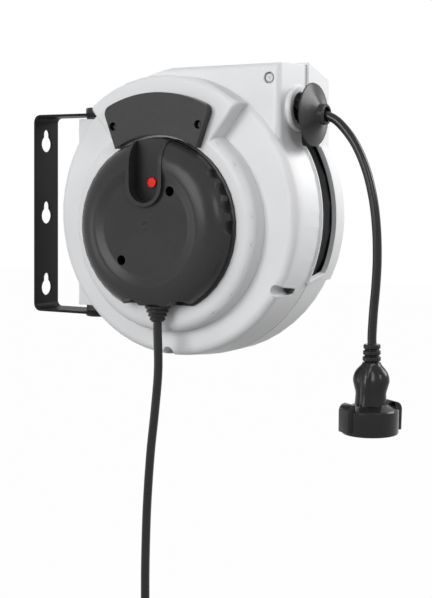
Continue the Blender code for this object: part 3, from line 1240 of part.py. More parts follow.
plug_top = GAP
plug_face = plug_top + PLUG_LENGTH
plug_profile = [
    (0, plug_top), (PLUG_NECK_RADIUS, plug_top), (PLUG_NECK_RADIUS + PLUG_EDGE, plug_top + PLUG_NECK),
    (PLUG_SHOULDER_RADIUS, plug_top + PLUG_SHOULDER), (PLUG_RADIUS, plug_top + PLUG_BODY),
    (PLUG_RADIUS, plug_face - PLUG_EDGE), (PLUG_RADIUS - PLUG_EDGE, plug_face), (0, plug_face),
]
plug = piece("supply_plug", turned(plug_profile, 18), reel_frame, BLACK_RUBBER, tail, DOWN)
pin_root = plug_face - PLUG_PIN_ROOT
pin_end = plug_face + PLUG_PIN_LENGTH
plug_pin = [
    (0, pin_root + GAP), (PLUG_PIN_RADIUS, pin_root + GAP), (PLUG_PIN_RADIUS, pin_end - PLUG_PIN_POINT),
    (PLUG_PIN_RADIUS - PLUG_PIN_POINT / 2, pin_end), (0, pin_end),
]
for label, sign in (("left", -1), ("right", 1)):
    at = tail + Vector((sign * PLUG_PIN_SPREAD, 0, 0))
    cut(plug, tool(rod(PLUG_PIN_RADIUS + GAP, pin_root, plug_face + THROUGH, 12), reel_frame, at, DOWN))
    piece("plug_pin_" + label, turned(plug_pin, 12), reel_frame, BRASS, at, DOWN)

# Stop bell that hangs in the outlet
cone_foot = BELL_RIM + BELL_FRONT_CONE
cone_middle = (BELL_RADIUS + BELL_HUB) / 2
bell = [
    (BELL_BORE, BELL_PLUG_BACK), (BELL_PLUG - BELL_EDGE, BELL_PLUG_BACK),
    (BELL_PLUG, BELL_PLUG_BACK + BELL_EDGE), (BELL_PLUG, BELL_RIM - BELL_BACK_CONE),
    (BELL_RADIUS - BELL_EDGE, BELL_RIM - BELL_EDGE), (BELL_RADIUS, BELL_RIM - BELL_EDGE / 4),
    (BELL_RADIUS - BELL_EDGE / 2, BELL_RIM + BELL_EDGE / 2),
    (cone_middle, BELL_RIM + (BELL_FRONT_CONE - BELL_EDGE) / 2),
    (BELL_HUB + BELL_EDGE, cone_foot), (BELL_HUB, cone_foot + BELL_EDGE),
    (BELL_HUB, BELL_END - BELL_HUB_EDGE), (BELL_HUB - BELL_HUB_EDGE, BELL_END),
    (BELL_BORE + BELL_FLARE, BELL_END),
    (BELL_BORE, BELL_END - BELL_FLARE_DEPTH),
]
piece("stop_bell", turned(bell, 28), reel_frame, BLACK_PLASTIC, (0, BELL_UP, MOUTH_FORWARD), OUTWARD)

# Output cord: from beside the winding, through the bell, down to the coupling
mouth_from_drum = Vector((mouth_face - MOUTH_LIP_ROOT, BELL_UP + DRUM_DROP))
lift = atan2(mouth_from_drum.y, mouth_from_drum.x) + acos(WIND_RADIUS / mouth_from_drum.length)
touch = WIND_RADIUS * Vector((cos(lift), sin(lift)))
along = (mouth_from_drum - touch).normalized()
clear = WIND_RADIUS + CORD_DIAMETER + 5 * GAP
begin = touch + along * sqrt(clear**2 - WIND_RADIUS**2)
halfway = (begin + mouth_from_drum) / 2
coupling_top = -COUPLING_TOP_DOWN
route = [
    (begin.x, begin.y - DRUM_DROP, MOUTH_FORWARD), (halfway.x, halfway.y - DRUM_DROP, MOUTH_FORWARD),
    (mouth_from_drum.x, BELL_UP, MOUTH_FORWARD), (BELL_PLUG_BACK, BELL_UP, MOUTH_FORWARD),
    (BELL_RIM, BELL_UP, MOUTH_FORWARD), (BELL_END - CORD_RADIUS, BELL_UP, MOUTH_FORWARD),
    (0.1600, 0.0875, 0.0218), (0.1765, 0.0680, 0.0212), (0.1880, 0.0429, 0.0205),
    (0.1948, 0.0156, COUPLING_FORWARD), (0.1980, -0.0116, COUPLING_FORWARD),
    (0.1986, -0.0388, COUPLING_FORWARD), (0.1972, -0.0630, COUPLING_FORWARD),
    (0.1950, -0.0853, COUPLING_FORWARD),
    (COUPLING_OUT, coupling_top + CORD_DIAMETER + GAP, COUPLING_FORWARD),
    (COUPLING_OUT, coupling_top + GAP, COUPLING_FORWARD),
]
tube("output_cord", smooth_route(route, 1.2 * CORD_DIAMETER), reel_frame, CORD_GREY, 2)

# Rubber coupling with a ribbed grip, its well facing down
base = COUPLING_TOP_DOWN
foot = base + COUPLING_LENGTH
neck_rings = []
for i in range(COUPLING_RINGS):
    top = base + i * COUPLING_RING_PITCH
    waist_top = top + COUPLING_RING
    waist_foot = top + COUPLING_RING_PITCH
    neck_rings += [(COUPLING_RING_RADIUS, top + GAP), (COUPLING_RING_RADIUS, waist_top - GAP)]
    neck_rings += [(COUPLING_RING_WAIST, waist_top + GAP), (COUPLING_RING_WAIST, waist_foot - GAP)]
grip_top = base + COUPLING_RINGS * COUPLING_RING_PITCH
swell_down = base + GRIP_SWELL_DOWN
waist_down = base + GRIP_WAIST_DOWN
head_top = base + HEAD_DOWN
swell_out = GRIP_SWELL_RADIUS - GRIP_TOP_RADIUS
waist_in = GRIP_SWELL_RADIUS - GRIP_WAIST_RADIUS
coupling_profile = [
    (0, base), *neck_rings, (GRIP_TOP_RADIUS, grip_top + THROUGH),
    *oval((GRIP_TOP_RADIUS, swell_down), swell_out, grip_top - swell_down, 60, 0, 3),
    (GRIP_SWELL_RADIUS - waist_in / 2, (swell_down + waist_down) / 2), (GRIP_WAIST_RADIUS, waist_down),
    (GRIP_WAIST_RADIUS, head_top), (COUPLING_RADIUS - HEAD_SLOPE / 2, head_top + HEAD_SLOPE / 2),
    (COUPLING_RADIUS, head_top + HEAD_SLOPE), (COUPLING_RADIUS, foot - COUPLING_EDGE),
    (COUPLING_RADIUS - COUPLING_EDGE, foot), (WELL_RADIUS, foot),
    (WELL_RADIUS - WELL_DRAFT, foot - WELL_DEPTH), (0, foot - WELL_DEPTH),
]


def grip_swell(height, angle):
    """Two lobes and a rib on each flat side of the grip, fading out at its ends."""
    share = (height - grip_top) / (head_top - grip_top)
    if not 0 < share < 1:
        return 1
    turn = radians(angle - COUPLING_TAB_ANGLE)
    rib = GRIP_RIB_SHARE * abs(sin(turn)) ** 16
    return 1 + sin(pi * share) * (GRIP_LOBE_SHARE * cos(2 * turn) + rib)


coupling_at = (COUPLING_OUT, 0, COUPLING_FORWARD)
coupling_shape = turned(coupling_profile, 28, grip_swell)
coupling = piece("socket_coupling", coupling_shape, reel_frame, BLACK_RUBBER, coupling_at, DOWN)
tab_root = WELL_RADIUS + COUPLING_TAB_ROOT
for sign in (-1, 1):
    tab_way = Vector(polar(sign, COUPLING_TAB_ANGLE))
    tab_side = COUPLING_TAB_HALF_WIDTH * Vector((-tab_way.y, tab_way.x))
    near, far = tab_root * tab_way, COUPLING_TAB * tab_way
    tab = prism([near - tab_side, far - tab_side, far + tab_side, near + tab_side],
                head_top + HEAD_SLOPE + COUPLING_TAB_DOWN, foot - COUPLING_EDGE)
    join(coupling, tool(tab, reel_frame, coupling_at, DOWN))
    contact = rod(CONTACT_HOLE, foot - WELL_DEPTH - CONTACT_DEPTH, foot - WELL_DEPTH + THROUGH, 12)
    hole_at = (COUPLING_OUT + sign * PLUG_PIN_SPREAD, 0, COUPLING_FORWARD)
    cut(coupling, tool(contact, reel_frame, hole_at, DOWN))
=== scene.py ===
"""Looks of a wall-hung cord reel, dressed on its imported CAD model. Metres, +Z up, wall at X = 0."""

import json
from math import acos, atan2, cos, exp, pi, radians, sin, sqrt

import bmesh
import bpy
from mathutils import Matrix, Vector

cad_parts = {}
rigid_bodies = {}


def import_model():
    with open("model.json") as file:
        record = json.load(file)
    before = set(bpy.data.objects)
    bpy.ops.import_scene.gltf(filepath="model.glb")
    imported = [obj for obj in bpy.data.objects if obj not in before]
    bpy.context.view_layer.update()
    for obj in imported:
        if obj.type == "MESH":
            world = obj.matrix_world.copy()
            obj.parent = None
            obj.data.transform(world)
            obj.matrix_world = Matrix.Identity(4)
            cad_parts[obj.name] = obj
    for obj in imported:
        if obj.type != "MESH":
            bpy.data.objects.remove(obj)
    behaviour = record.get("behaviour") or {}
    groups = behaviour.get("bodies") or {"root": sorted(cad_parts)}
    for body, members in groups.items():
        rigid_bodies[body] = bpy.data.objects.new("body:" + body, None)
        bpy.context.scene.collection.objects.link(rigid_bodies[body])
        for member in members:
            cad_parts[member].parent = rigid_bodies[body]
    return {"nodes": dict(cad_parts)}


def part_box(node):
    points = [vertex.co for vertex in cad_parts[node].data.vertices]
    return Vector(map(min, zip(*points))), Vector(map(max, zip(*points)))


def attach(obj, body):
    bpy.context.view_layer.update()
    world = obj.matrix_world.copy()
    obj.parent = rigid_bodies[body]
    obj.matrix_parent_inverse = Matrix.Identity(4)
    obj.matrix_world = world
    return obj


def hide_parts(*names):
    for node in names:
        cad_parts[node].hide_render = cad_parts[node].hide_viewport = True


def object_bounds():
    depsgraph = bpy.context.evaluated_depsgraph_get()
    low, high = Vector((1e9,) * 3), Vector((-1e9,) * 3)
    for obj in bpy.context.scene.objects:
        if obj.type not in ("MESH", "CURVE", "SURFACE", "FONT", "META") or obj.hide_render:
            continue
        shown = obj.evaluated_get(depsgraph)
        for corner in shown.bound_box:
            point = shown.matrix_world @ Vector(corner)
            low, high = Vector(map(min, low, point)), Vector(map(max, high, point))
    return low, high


for old in list(bpy.data.objects):
    bpy.data.objects.remove(old)

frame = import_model()
cad_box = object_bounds()
nodes = frame["nodes"]

# Places that come from the frame: the drum's axis, and the casing's centre a little above it
DRUM_DROP = 0.0094
shaft_low, shaft_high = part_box("main_shaft")
AXIS_X = (shaft_low.x + shaft_high.x) / 2
AXIS_Z = (shaft_low.z + shaft_high.z) / 2
CASE_Z = AXIS_Z + DRUM_DROP


def world(x, up, forward):
    """A point given from the casing's centre: away from the wall, up and to the front."""
    return Vector((AXIS_X + x, -forward, CASE_Z + up))


def placed(name, data):
    """A new object in the scene."""
    made = bpy.data.objects.new(name, data)
    bpy.context.scene.collection.objects.link(made)
    return made


# Camera, placed as the photograph was taken
IMAGE_HEIGHT = 598
FOCAL_PIXELS = 1293.7
HORIZON_ROW = 178.4
CAMERA_TURN = radians(31.18)
CAMERA_PLACE = (0.6812, 0.0352, 1.1000)
SENSOR = 36

camera_data = bpy.data.cameras.new("camera")
camera_data.sensor_width = SENSOR
camera_data.lens = FOCAL_PIXELS / IMAGE_HEIGHT * SENSOR
camera_data.shift_y = (HORIZON_ROW - IMAGE_HEIGHT / 2) / IMAGE_HEIGHT
camera = placed("camera", camera_data)
camera.location = world(*CAMERA_PLACE)
camera.rotation_euler = (pi / 2, 0, CAMERA_TURN)
bpy.context.scene.camera = camera
bpy.context.scene.view_settings.view_transform = "Standard"

# Inner faces of the casing behind the cord slot, which get a painted shade: a near-black colour for the
# dark there
INSIDE_RADIUS = 0.1357
INSIDE_BACK = 0.0400
INSIDE_FRONT = 0.0525
INSIDE_BLEND = 0.0006
RIM_SEAM = 0.011
RIM_SLOPE = 0.095
CHANNEL_RADIUS = 0.0062
CHANNEL_SCREWS = ("shell_screw_right", "shell_screw_bottom")

# Painted shade in the hollows of the black pieces: a darker colour where ambient occlusion is strong
HOLLOW_REACH = 0.022
HOLLOW_DEEP = 0.25
HOLLOW_OPEN = 0.85
HOLLOW_SAMPLES = 8

# Rounded edges, found where the rounded normal leaves the plain one, and the lighter colour along them:
# wear, and on the cover and plate also a painted highlight
EDGE_SAMPLES = 6
EDGE_MATCH = 0.80
FACE_MATCH = 0.985
WEAR_AND_SHEEN_REACH = 1.2
WEAR_AND_SHEEN_MOST = 0.55

# Changes of tone and fine grain
NOISE_ROUGHNESS = 0.55
NOISE_LOW = 0.3
NOISE_HIGH = 0.7
TONE_SCALE = 22
TONE_DETAIL = 4
GRAIN_DETAIL = 2
GRAIN_STRENGTH = 0.25
METAL_TONE_SCALE = 60
METAL_TONE_DETAIL = 5
METAL_GRAIN = 900
METAL_GRAIN_DETAIL = 3
METAL_STRENGTH = 0.15
METAL_DEPTH = 0.0001
METAL_EDGE = 0.0004

# Colour sockets of a Mix node
MIX_COLOURS = (6, 7)
MIX_RESULT = 2


class Nodes:
    """A material's node tree with short ways to add and join nodes."""

    def __init__(self, name):
        self.material = bpy.data.materials.new(name)
        self.material.use_nodes = True
        self.tree = self.material.node_tree
        self.shader = self.tree.nodes["Principled BSDF"]
        coordinates = self.add("ShaderNodeTexCoord")
        self.place = coordinates.outputs["Object"]
        self.normal = coordinates.outputs["Normal"]

    def add(self, kind, **settings):
        """A new node with these settings."""
        node = self.tree.nodes.new(kind)
        for key, value in settings.items():
            setattr(node, key, value)
        return node

    def join(self, source, target):
        """A link from one socket to another."""
        self.tree.links.new(source, target)

    def noise(self, scale, detail):
        """A cloudy value that stays with the piece."""
        node = self.add("ShaderNodeTexNoise")
        node.inputs["Scale"].default_value = scale
        node.inputs["Detail"].default_value = detail
        node.inputs["Roughness"].default_value = NOISE_ROUGHNESS
        self.join(self.place, node.inputs["Vector"])
        return node.outputs["Fac"]

    def spread(self, value, low, high, start=NOISE_LOW, end=NOISE_HIGH):
        """A value that goes from low to high while another goes from start to end."""
        node = self.add("ShaderNodeMapRange")
        node.inputs["From Min"].default_value = start
        node.inputs["From Max"].default_value = end
        node.inputs["To Min"].default_value = low
        node.inputs["To Max"].default_value = high
        self.join(value, node.inputs["Value"])
        return node.outputs["Result"]

    def blend(self, share, first, second):
        """A colour between two, which may be colours or sockets."""
        node = self.add("ShaderNodeMix", data_type="RGBA")
        self.join(share, node.inputs["Factor"])
        for slot, colour in zip(MIX_COLOURS, (first, second)):
            if isinstance(colour, tuple):
                node.inputs[slot].default_value = (*colour, 1)
            else:
                self.join(colour, node.inputs[slot])
        return node.outputs[MIX_RESULT]

    def reckon(self, operation, first, second=0.0):
        """The result of arithmetic on two values, either of which may be a number."""
        node = self.add("ShaderNodeMath", operation=operation)
        for slot, value in enumerate((first, second)):
            if isinstance(value, (int, float)):
                node.inputs[slot].default_value = value
            else:
                self.join(value, node.inputs[slot])
        return node.outputs[0]

    def product(self, first, second):
        """Two values multiplied."""
        return self.reckon("MULTIPLY", first, second)

    def agreement(self, first, second):
        """The dot product of two directions."""
        node = self.add("ShaderNodeVectorMath", operation="DOT_PRODUCT")
        self.join(first, node.inputs[0])
        self.join(second, node.inputs[1])
        return node.outputs["Value"]

    def rounded(self, radius):
        """The normal of the surface with its edges rounded off."""
        node = self.add("ShaderNodeBevel", samples=EDGE_SAMPLES)
        node.inputs["Radius"].default_value = radius
        return node.outputs["Normal"]

    def edges(self, radius):
        """1 on the edges of the piece and 0 on its faces."""
        flat = self.add("ShaderNodeNewGeometry").outputs["Normal"]
        return self.spread(self.agreement(self.rounded(radius), flat), 1, 0, EDGE_MATCH, FACE_MATCH)

    def from_axis(self, parts, x, z):
        """The distance from a line that runs front to back."""
        out = self.reckon("SUBTRACT", parts.outputs["X"], x)
        up = self.reckon("SUBTRACT", parts.outputs["Z"], z)
        return self.reckon("SQRT", self.reckon("ADD", self.product(out, out), self.product(up, up)))

    def facing_in(self):
        """1 on faces turned towards the middle of the casing and 0 on those turned away."""
        outward = self.add("ShaderNodeVectorMath", operation="SUBTRACT")
        self.join(self.place, outward.inputs[0])
        outward.inputs[1].default_value = (AXIS_X, (INSIDE_BACK - INSIDE_FRONT) / 2, CASE_Z)
        turned = self.agreement(outward.outputs["Vector"], self.normal)
        return self.spread(turned, 1, 0, -INSIDE_BLEND, INSIDE_BLEND)

    def inside_shade_mask(self):
        """1 on the faces inside the casing, where shade is painted, and 0 on those outside or in a
        screw channel.
        """
        parts = self.add("ShaderNodeSeparateXYZ")
        self.join(self.place, parts.inputs[0])
        y = parts.outputs["Y"]
        ahead = self.reckon("MAXIMUM", self.reckon("SUBTRACT", self.product(y, -1), RIM_SEAM), 0)
        drawn_in = self.product(ahead, RIM_SLOPE)
        radius = self.reckon("ADD", self.from_axis(parts, AXIS_X, CASE_Z), drawn_in)
        inside = self.spread(radius, 1, 0, INSIDE_RADIUS, INSIDE_RADIUS + INSIDE_BLEND)
        back = self.spread(y, 1, 0, INSIDE_BACK, INSIDE_BACK + INSIDE_BLEND)
        front = self.spread(y, 0, 1, -INSIDE_FRONT - INSIDE_BLEND, -INSIDE_FRONT)
        inside = self.product(self.product(back, front), inside)
        inside = self.product(inside, self.facing_in())
        for screw in CHANNEL_SCREWS:
            low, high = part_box(screw)
            beside = self.from_axis(parts, (low.x + high.x) / 2, (low.z + high.z) / 2)
            outside = self.spread(beside, 0, 1, CHANNEL_RADIUS, CHANNEL_RADIUS + INSIDE_BLEND)
            inside = self.product(inside, outside)
        return inside

    def hollow_shade_mask(self):
        """1 deep in a recess, a notch or a corner, where shade is painted, and 0 on open faces."""
        node = self.add("ShaderNodeAmbientOcclusion", samples=HOLLOW_SAMPLES)
        node.inputs["Distance"].default_value = HOLLOW_REACH
        return self.spread(node.outputs["AO"], 1, 0, HOLLOW_DEEP, HOLLOW_OPEN)

    def relief(self, height, strength, depth, edge):
        """Fine grain in the surface, on top of rounded edges."""
        node = self.add("ShaderNodeBump")
        node.inputs["Strength"].default_value = strength
        node.inputs["Distance"].default_value = depth
        self.join(height, node.inputs["Height"])
        self.join(self.rounded(edge), node.inputs["Normal"])
        self.join(node.outputs["Normal"], self.shader.inputs["Normal"])


def moulded(name, colour, shade, roughness, grain, depth, edge,
            gloss=0.5, wear_and_sheen=None, inside=None, hollow_shade=None):
    """Plastic, rubber or paint: a fine grain, a slight change of tone and softly rounded edges, with,
    where asked, lighter edges (wear and painted highlight) and painted shade inside the casing and in
    hollows.
    """
    made = Nodes(name)
    made.shader.inputs["Specular IOR Level"].default_value = gloss
    tone = made.blend(made.spread(made.noise(TONE_SCALE, TONE_DETAIL), 0, 1), colour, shade)
    # Lighter edges: wear, and on the cover and plate also a painted highlight
    if wear_and_sheen:
        tone = made.blend(made.spread(made.edges(edge * WEAR_AND_SHEEN_REACH), 0, WEAR_AND_SHEEN_MOST, 0, 1), tone, wear_and_sheen)
    # Painted shade: the casing's inner faces behind the slot take a near-black colour
    if inside:
        tone = made.blend(made.inside_shade_mask(), tone, inside)
    # Painted shade: a darker colour deep in recesses, notches and corners
    if hollow_shade:
        tone = made.blend(made.hollow_shade_mask(), tone, hollow_shade)
    made.join(tone, made.shader.inputs["Base Color"])
    fine = made.noise(grain, GRAIN_DETAIL)
    made.join(made.spread(fine, *roughness), made.shader.inputs["Roughness"])
    made.relief(fine, GRAIN_STRENGTH, depth, edge)
    return made.material


def bright(name, colour, shade, roughness):
    """Bare metal with fine marks from its making."""
    made = Nodes(name)
    made.shader.inputs["Metallic"].default_value = 1
    tone = made.spread(made.noise(METAL_TONE_SCALE, METAL_TONE_DETAIL), 0, 1)
    made.join(made.blend(tone, colour, shade), made.shader.inputs["Base Color"])
    fine = made.noise(METAL_GRAIN, METAL_GRAIN_DETAIL)
    made.join(made.spread(fine, *roughness), made.shader.inputs["Roughness"])
    made.relief(fine, METAL_STRENGTH, METAL_DEPTH, METAL_EDGE)
    return made.material


# One finish for each material slot of the record
FINISHES = {
    "black_paint": moulded(
        "bracket_paint", (0.005, 0.005, 0.006), (0.008, 0.008, 0.009), roughness=(0.40, 0.52),
        grain=1400, depth=0.00012, edge=0.0006, gloss=0.1, wear_and_sheen=(0.03, 0.03, 0.032)),
    "black_plastic": moulded(
        "cover_plastic", (0.034, 0.034, 0.035), (0.041, 0.041, 0.042), roughness=(0.20, 0.30),
        # lighter edges: partly wear, partly a painted highlight
        grain=1800, depth=0.00010, edge=0.0008, gloss=0.15, wear_and_sheen=(0.11, 0.11, 0.113),
        # darker in hollows: painted shade
        hollow_shade=(0.006, 0.006, 0.007)),
    "dark_plastic": moulded(
        "inner_plastic", (0.030, 0.030, 0.032), (0.038, 0.038, 0.040), roughness=(0.45, 0.6),
        grain=1600, depth=0.0001, edge=0.0005, gloss=0.3),
    "grey_plastic": moulded(
        "casing_plastic", (0.72, 0.725, 0.735), (0.75, 0.755, 0.765), roughness=(0.38, 0.5),
        # the inside colour is a painted shade, near black
        grain=1500, depth=0.00008, edge=0.0010, inside=(0.008, 0.008, 0.009)),
    "red_plastic": moulded(
        "button_plastic", (0.95, 0.022, 0.012), (0.88, 0.018, 0.010), roughness=(0.3, 0.42),
        grain=1500, depth=0.00006, edge=0.0005, gloss=0.2),
    "nylon": moulded(
        "bearing_nylon", (0.74, 0.73, 0.68), (0.68, 0.67, 0.62), roughness=(0.4, 0.55),
        grain=1200, depth=0.00008, edge=0.0004),
    "carbon": moulded(
        "brush_carbon", (0.02, 0.02, 0.02), (0.035, 0.035, 0.035), roughness=(0.6, 0.8),
        grain=2200, depth=0.0001, edge=0.0003),
    "black_rubber": moulded(
        "moulded_rubber", (0.012, 0.012, 0.013), (0.016, 0.016, 0.017), roughness=(0.16, 0.24),
        grain=1100, depth=0.00005, edge=0.0007, gloss=0.22, wear_and_sheen=(0.04, 0.04, 0.04),
        # darker in hollows: painted shade
        hollow_shade=(0.003, 0.003, 0.003)),
    "cord_rubber": moulded(
        "cord_sheath", (0.014, 0.014, 0.015), (0.019, 0.019, 0.020), roughness=(0.16, 0.22),
        grain=900, depth=0.00003, edge=0.0003, gloss=0.25),
    "steel": bright("plated_steel", (0.56, 0.57, 0.58), (0.47, 0.48, 0.50), roughness=(0.28, 0.42)),
    "brass": bright("contact_brass", (0.70, 0.50, 0.21), (0.60, 0.42, 0.17), roughness=(0.25, 0.4)),
}

# Nodes whose finish differs from that of their slot
DARK_STEEL = bright(
    "blackened_steel", (0.05, 0.05, 0.052), (0.035, 0.035, 0.037), roughness=(0.35, 0.5))
PALE_PAINT = moulded(
    "pale_screw_paint", (0.60, 0.605, 0.615), (0.66, 0.665, 0.675), roughness=(0.4, 0.5),
    grain=1500, depth=0.00006, edge=0.0004)
PLATE_PLASTIC = moulded(
    "plate_plastic", (0.052, 0.052, 0.053), (0.060, 0.060, 0.061), roughness=(0.22, 0.32),
    # lighter edges: partly wear, partly a painted highlight
    grain=1800, depth=0.00010, edge=0.0008, gloss=0.15, wear_and_sheen=(0.09, 0.09, 0.092),
    # darker in hollows: painted shade
    hollow_shade=(0.010, 0.010, 0.011))
DARK_SCREWS = ("cover_screw_upper", "cover_screw_lower", "plate_screw_left", "plate_screw_right")
SPECIAL = dict.fromkeys(DARK_SCREWS + CHANNEL_SCREWS, DARK_STEEL)
SPECIAL["shell_screw_tower"] = PALE_PAINT
SPECIAL["arched_plate"] = PLATE_PLASTIC

# CAD nodes carry over with joined facets and smooth shading
WELD = 0.00001
CREASE = radians(33)
OLD_SHADING = ("custom_normal", "sharp_edge", "sharp_face")


def smoothing():
    """A node group that joins facets and shades smooth, apart from steep edges."""
    group = bpy.data.node_groups.new("weld_and_smooth", "GeometryNodeTree")
    group.interface.new_socket("Geometry", in_out="INPUT", socket_type="NodeSocketGeometry")
    group.interface.new_socket("Geometry", in_out="OUTPUT", socket_type="NodeSocketGeometry")
    start = group.nodes.new("NodeGroupInput")
    weld = group.nodes.new("GeometryNodeMergeByDistance")
    weld.inputs["Distance"].default_value = WELD
    soften = group.nodes.new("GeometryNodeSetShadeSmooth")
    angle = group.nodes.new("GeometryNodeInputMeshEdgeAngle")
    steep = group.nodes.new("FunctionNodeCompare")
    steep.operation = "GREATER_THAN"
    steep.inputs[1].default_value = CREASE
    crease = group.nodes.new("GeometryNodeSetShadeSmooth")
    crease.domain = "EDGE"
    crease.inputs["Shade Smooth"].default_value = False
    end = group.nodes.new("NodeGroupOutput")
    links = group.links
    links.new(start.outputs[0], weld.inputs["Geometry"])
    links.new(weld.outputs["Geometry"], soften.inputs["Geometry"])
    links.new(soften.outputs["Geometry"], crease.inputs["Geometry"])
    links.new(angle.outputs["Unsigned Angle"], steep.inputs[0])
    links.new(steep.outputs["Result"], crease.inputs["Selection"])
    links.new(crease.outputs["Geometry"], end.inputs[0])
    return group


smooth_group = smoothing()
for name, node in nodes.items():
    mesh = node.data
    for extra in OLD_SHADING:
        if extra in mesh.attributes:
            mesh.attributes.remove(mesh.attributes[extra])
    node.modifiers.new("weld_and_smooth", "NODES").node_group = smooth_group
    weighted = node.modifiers.new("weighted_normals", "WEIGHTED_NORMAL")
    weighted.keep_sharp = True
    slot = mesh.materials[0].name.split(".")[0]
    mesh.materials[0] = SPECIAL.get(name, FINISHES[slot])

# Cords
CORD_DIAMETER = 0.0084
CORD_RADIUS = CORD_DIAMETER / 2
CORD_FACETS = 6
GAP = 0.0003
ROUTE_STEPS = 20
LOOP_POINTS = 48


def flexible(name, points, body, *stands_for):
    """A round cord along the points."""
    curve = bpy.data.curves.new(name, "CURVE")
    curve.dimensions = "3D"
    curve.bevel_depth = CORD_RADIUS
    curve.bevel_resolution = CORD_FACETS
    curve.use_fill_caps = True
    curve.materials.append(FINISHES["cord_rubber"])
    spline = curve.splines.new("POLY")
    spline.points.add(len(points) - 1)
    spline.use_smooth = True
    for target, point in zip(spline.points, points):
        target.co = (*point, 1)
    cord = placed(name, curve)
    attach(cord, body)
    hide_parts(*stands_for)
    return cord


def length_of(points):
    """The length of a line through the points."""
    return sum((q - p).length for p, q in zip(points, points[1:]))


def through(a, b, c, d, t):
    """A share of the way from b to c, on a smooth curve through all four."""
    bend = (2 * a - 5 * b + 4 * c - d) * t * t + (3 * b - a - 3 * c + d) * t**3
    return b + ((c - a) * t + bend) / 2


def smooth_route(stations, spacing):
    """Evenly spaced points on a smooth curve through the stations."""
    knots = [2 * stations[0] - stations[1], *stations, 2 * stations[-1] - stations[-2]]
    fine = []
    for a, b, c, d in zip(knots, knots[1:], knots[2:], knots[3:]):
        fine += [through(a, b, c, d, i / ROUTE_STEPS) for i in range(ROUTE_STEPS)]
    fine.append(stations[-1])
    total = length_of(fine)
    count = max(2, round(total / spacing))
    points = [fine[0]]
    walked = 0
    for p, q in zip(fine, fine[1:]):
        step = (q - p).length
        while len(points) < count and walked + step >= total * len(points) / count:
            points.append(p.lerp(q, (total * len(points) / count - walked) / step))
        walked += step
    points.append(fine[-1])
    return points


def polar(radius, degrees):
    """A point on a circle, turned anticlockwise from the right."""
    return Vector((radius * cos(radians(degrees)), radius * sin(radians(degrees))))


# Supply lead: out of the strain relief, down, and into a tied coil below the picture
LEAD_SIDE = 0.0055
LEAD_FORWARD = 0.0895
LEAD_DRIFT = -0.014
LEAD_HANG = 0.275
LEAD_TAIL = 0.038
COIL_RADIUS = 0.054
COIL_PITCH = 0.009
COIL_DEGREES = 1500
COIL_ENTRY = 120
COIL_CLIMB = 180
BEND_STEPS = 8

# How far the lead has moved sideways at each drop
LEAD_SWAY = (
    (0.0, 0.0), (0.0, CORD_DIAMETER), (0.0008, 0.045), (LEAD_DRIFT * 0.22, 0.085),
    (LEAD_DRIFT * 0.57, 0.125), (LEAD_DRIFT * 0.85, 0.175), (LEAD_DRIFT * 0.98, 0.225),
    (LEAD_DRIFT, LEAD_HANG - 2 * CORD_DIAMETER), (LEAD_DRIFT, LEAD_HANG),
)

lead_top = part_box("strain_relief")[0].z - CASE_Z - GAP
hang = [world(LEAD_SIDE + aside, lead_top - drop, LEAD_FORWARD) for aside, drop in LEAD_SWAY]
lead = smooth_route(hang, CORD_DIAMETER)
coil_x = LEAD_SIDE + LEAD_DRIFT
bend_top = lead_top - LEAD_HANG - GAP - CORD_DIAMETER
coil_up = bend_top - 2 * COIL_RADIUS * sin(radians(180 - COIL_ENTRY))
for i in range(BEND_STEPS):
    turn = polar(COIL_RADIUS, (COIL_ENTRY - 180) * i / BEND_STEPS)
    lead.append(world(coil_x - COIL_RADIUS + turn.x, bend_top + turn.y, LEAD_FORWARD))
for i in range(COIL_DEGREES * LOOP_POINTS // 360 + 1):
    swept = i * 360 / LOOP_POINTS
    radius = COIL_RADIUS - COIL_PITCH * min(swept, COIL_DEGREES - swept) / 360
    climb = min(1, max(0, (swept - COIL_DEGREES / 2) / COIL_CLIMB + 0.5))
    turn = polar(radius, COIL_ENTRY + swept)
    back = COIL_PITCH * climb * climb * (3 - 2 * climb)
    lead.append(world(coil_x + turn.x, coil_up + turn.y, LEAD_FORWARD - back))
tail = Vector((0, 0, -LEAD_TAIL))
lead += [lead[-1] + tail / 2, lead[-1] + tail]
supply = flexible("supply_lead", lead, "housing", "supply_cord", "supply_coil")

# Cord wound on the drum: layers of one length, and every other layer runs back
CORE_RADIUS = 0.0623
WIND_RADIUS = 0.0847
WIND_PITCH = 0.009
WIND_TURNS = 6
WIND_BACK = -0.0162
WIND_END_ANGLE = 100
WIND_CLIMB = 0.25

layers = (CORE_RADIUS + CORD_RADIUS, CORE_RADIUS + 3 * CORD_RADIUS, WIND_RADIUS)
last_layer = len(layers) - 1
layer_turns = WIND_TURNS + WIND_CLIMB
all_turns = len(layers) * layer_turns - WIND_CLIMB
wind = []
for i in range(int(all_turns * LOOP_POINTS) + 1):
    turns = i / LOOP_POINTS
    layer = min(last_layer, int(turns / layer_turns))
    done = turns - layer * layer_turns
    climb = max(0, (done - WIND_TURNS) / WIND_CLIMB)
    radius = layers[layer] + (layers[min(last_layer, layer + 1)] - layers[layer]) * climb
    across = WIND_PITCH * min(done, WIND_TURNS)
    if layer % 2:
        across = WIND_PITCH * WIND_TURNS - across
    turn = polar(radius, WIND_END_ANGLE - 360 * (turns - all_turns))
    wind.append(world(turn.x, turn.y - DRUM_DROP, WIND_BACK + across))
wind.append(wind[-1] + (wind[-1] - wind[-2]).normalized() * CORD_DIAMETER)
flexible("drum_winding", wind, "drum", "cord_winding", "cord_pack_core")

# Output cord: from beside the winding, through the stop bell, down to the coupling
MOUTH_INSIDE = 0.1108
BELL_THROAT = 0.0152
WIND_CLEARANCE = 5 * GAP

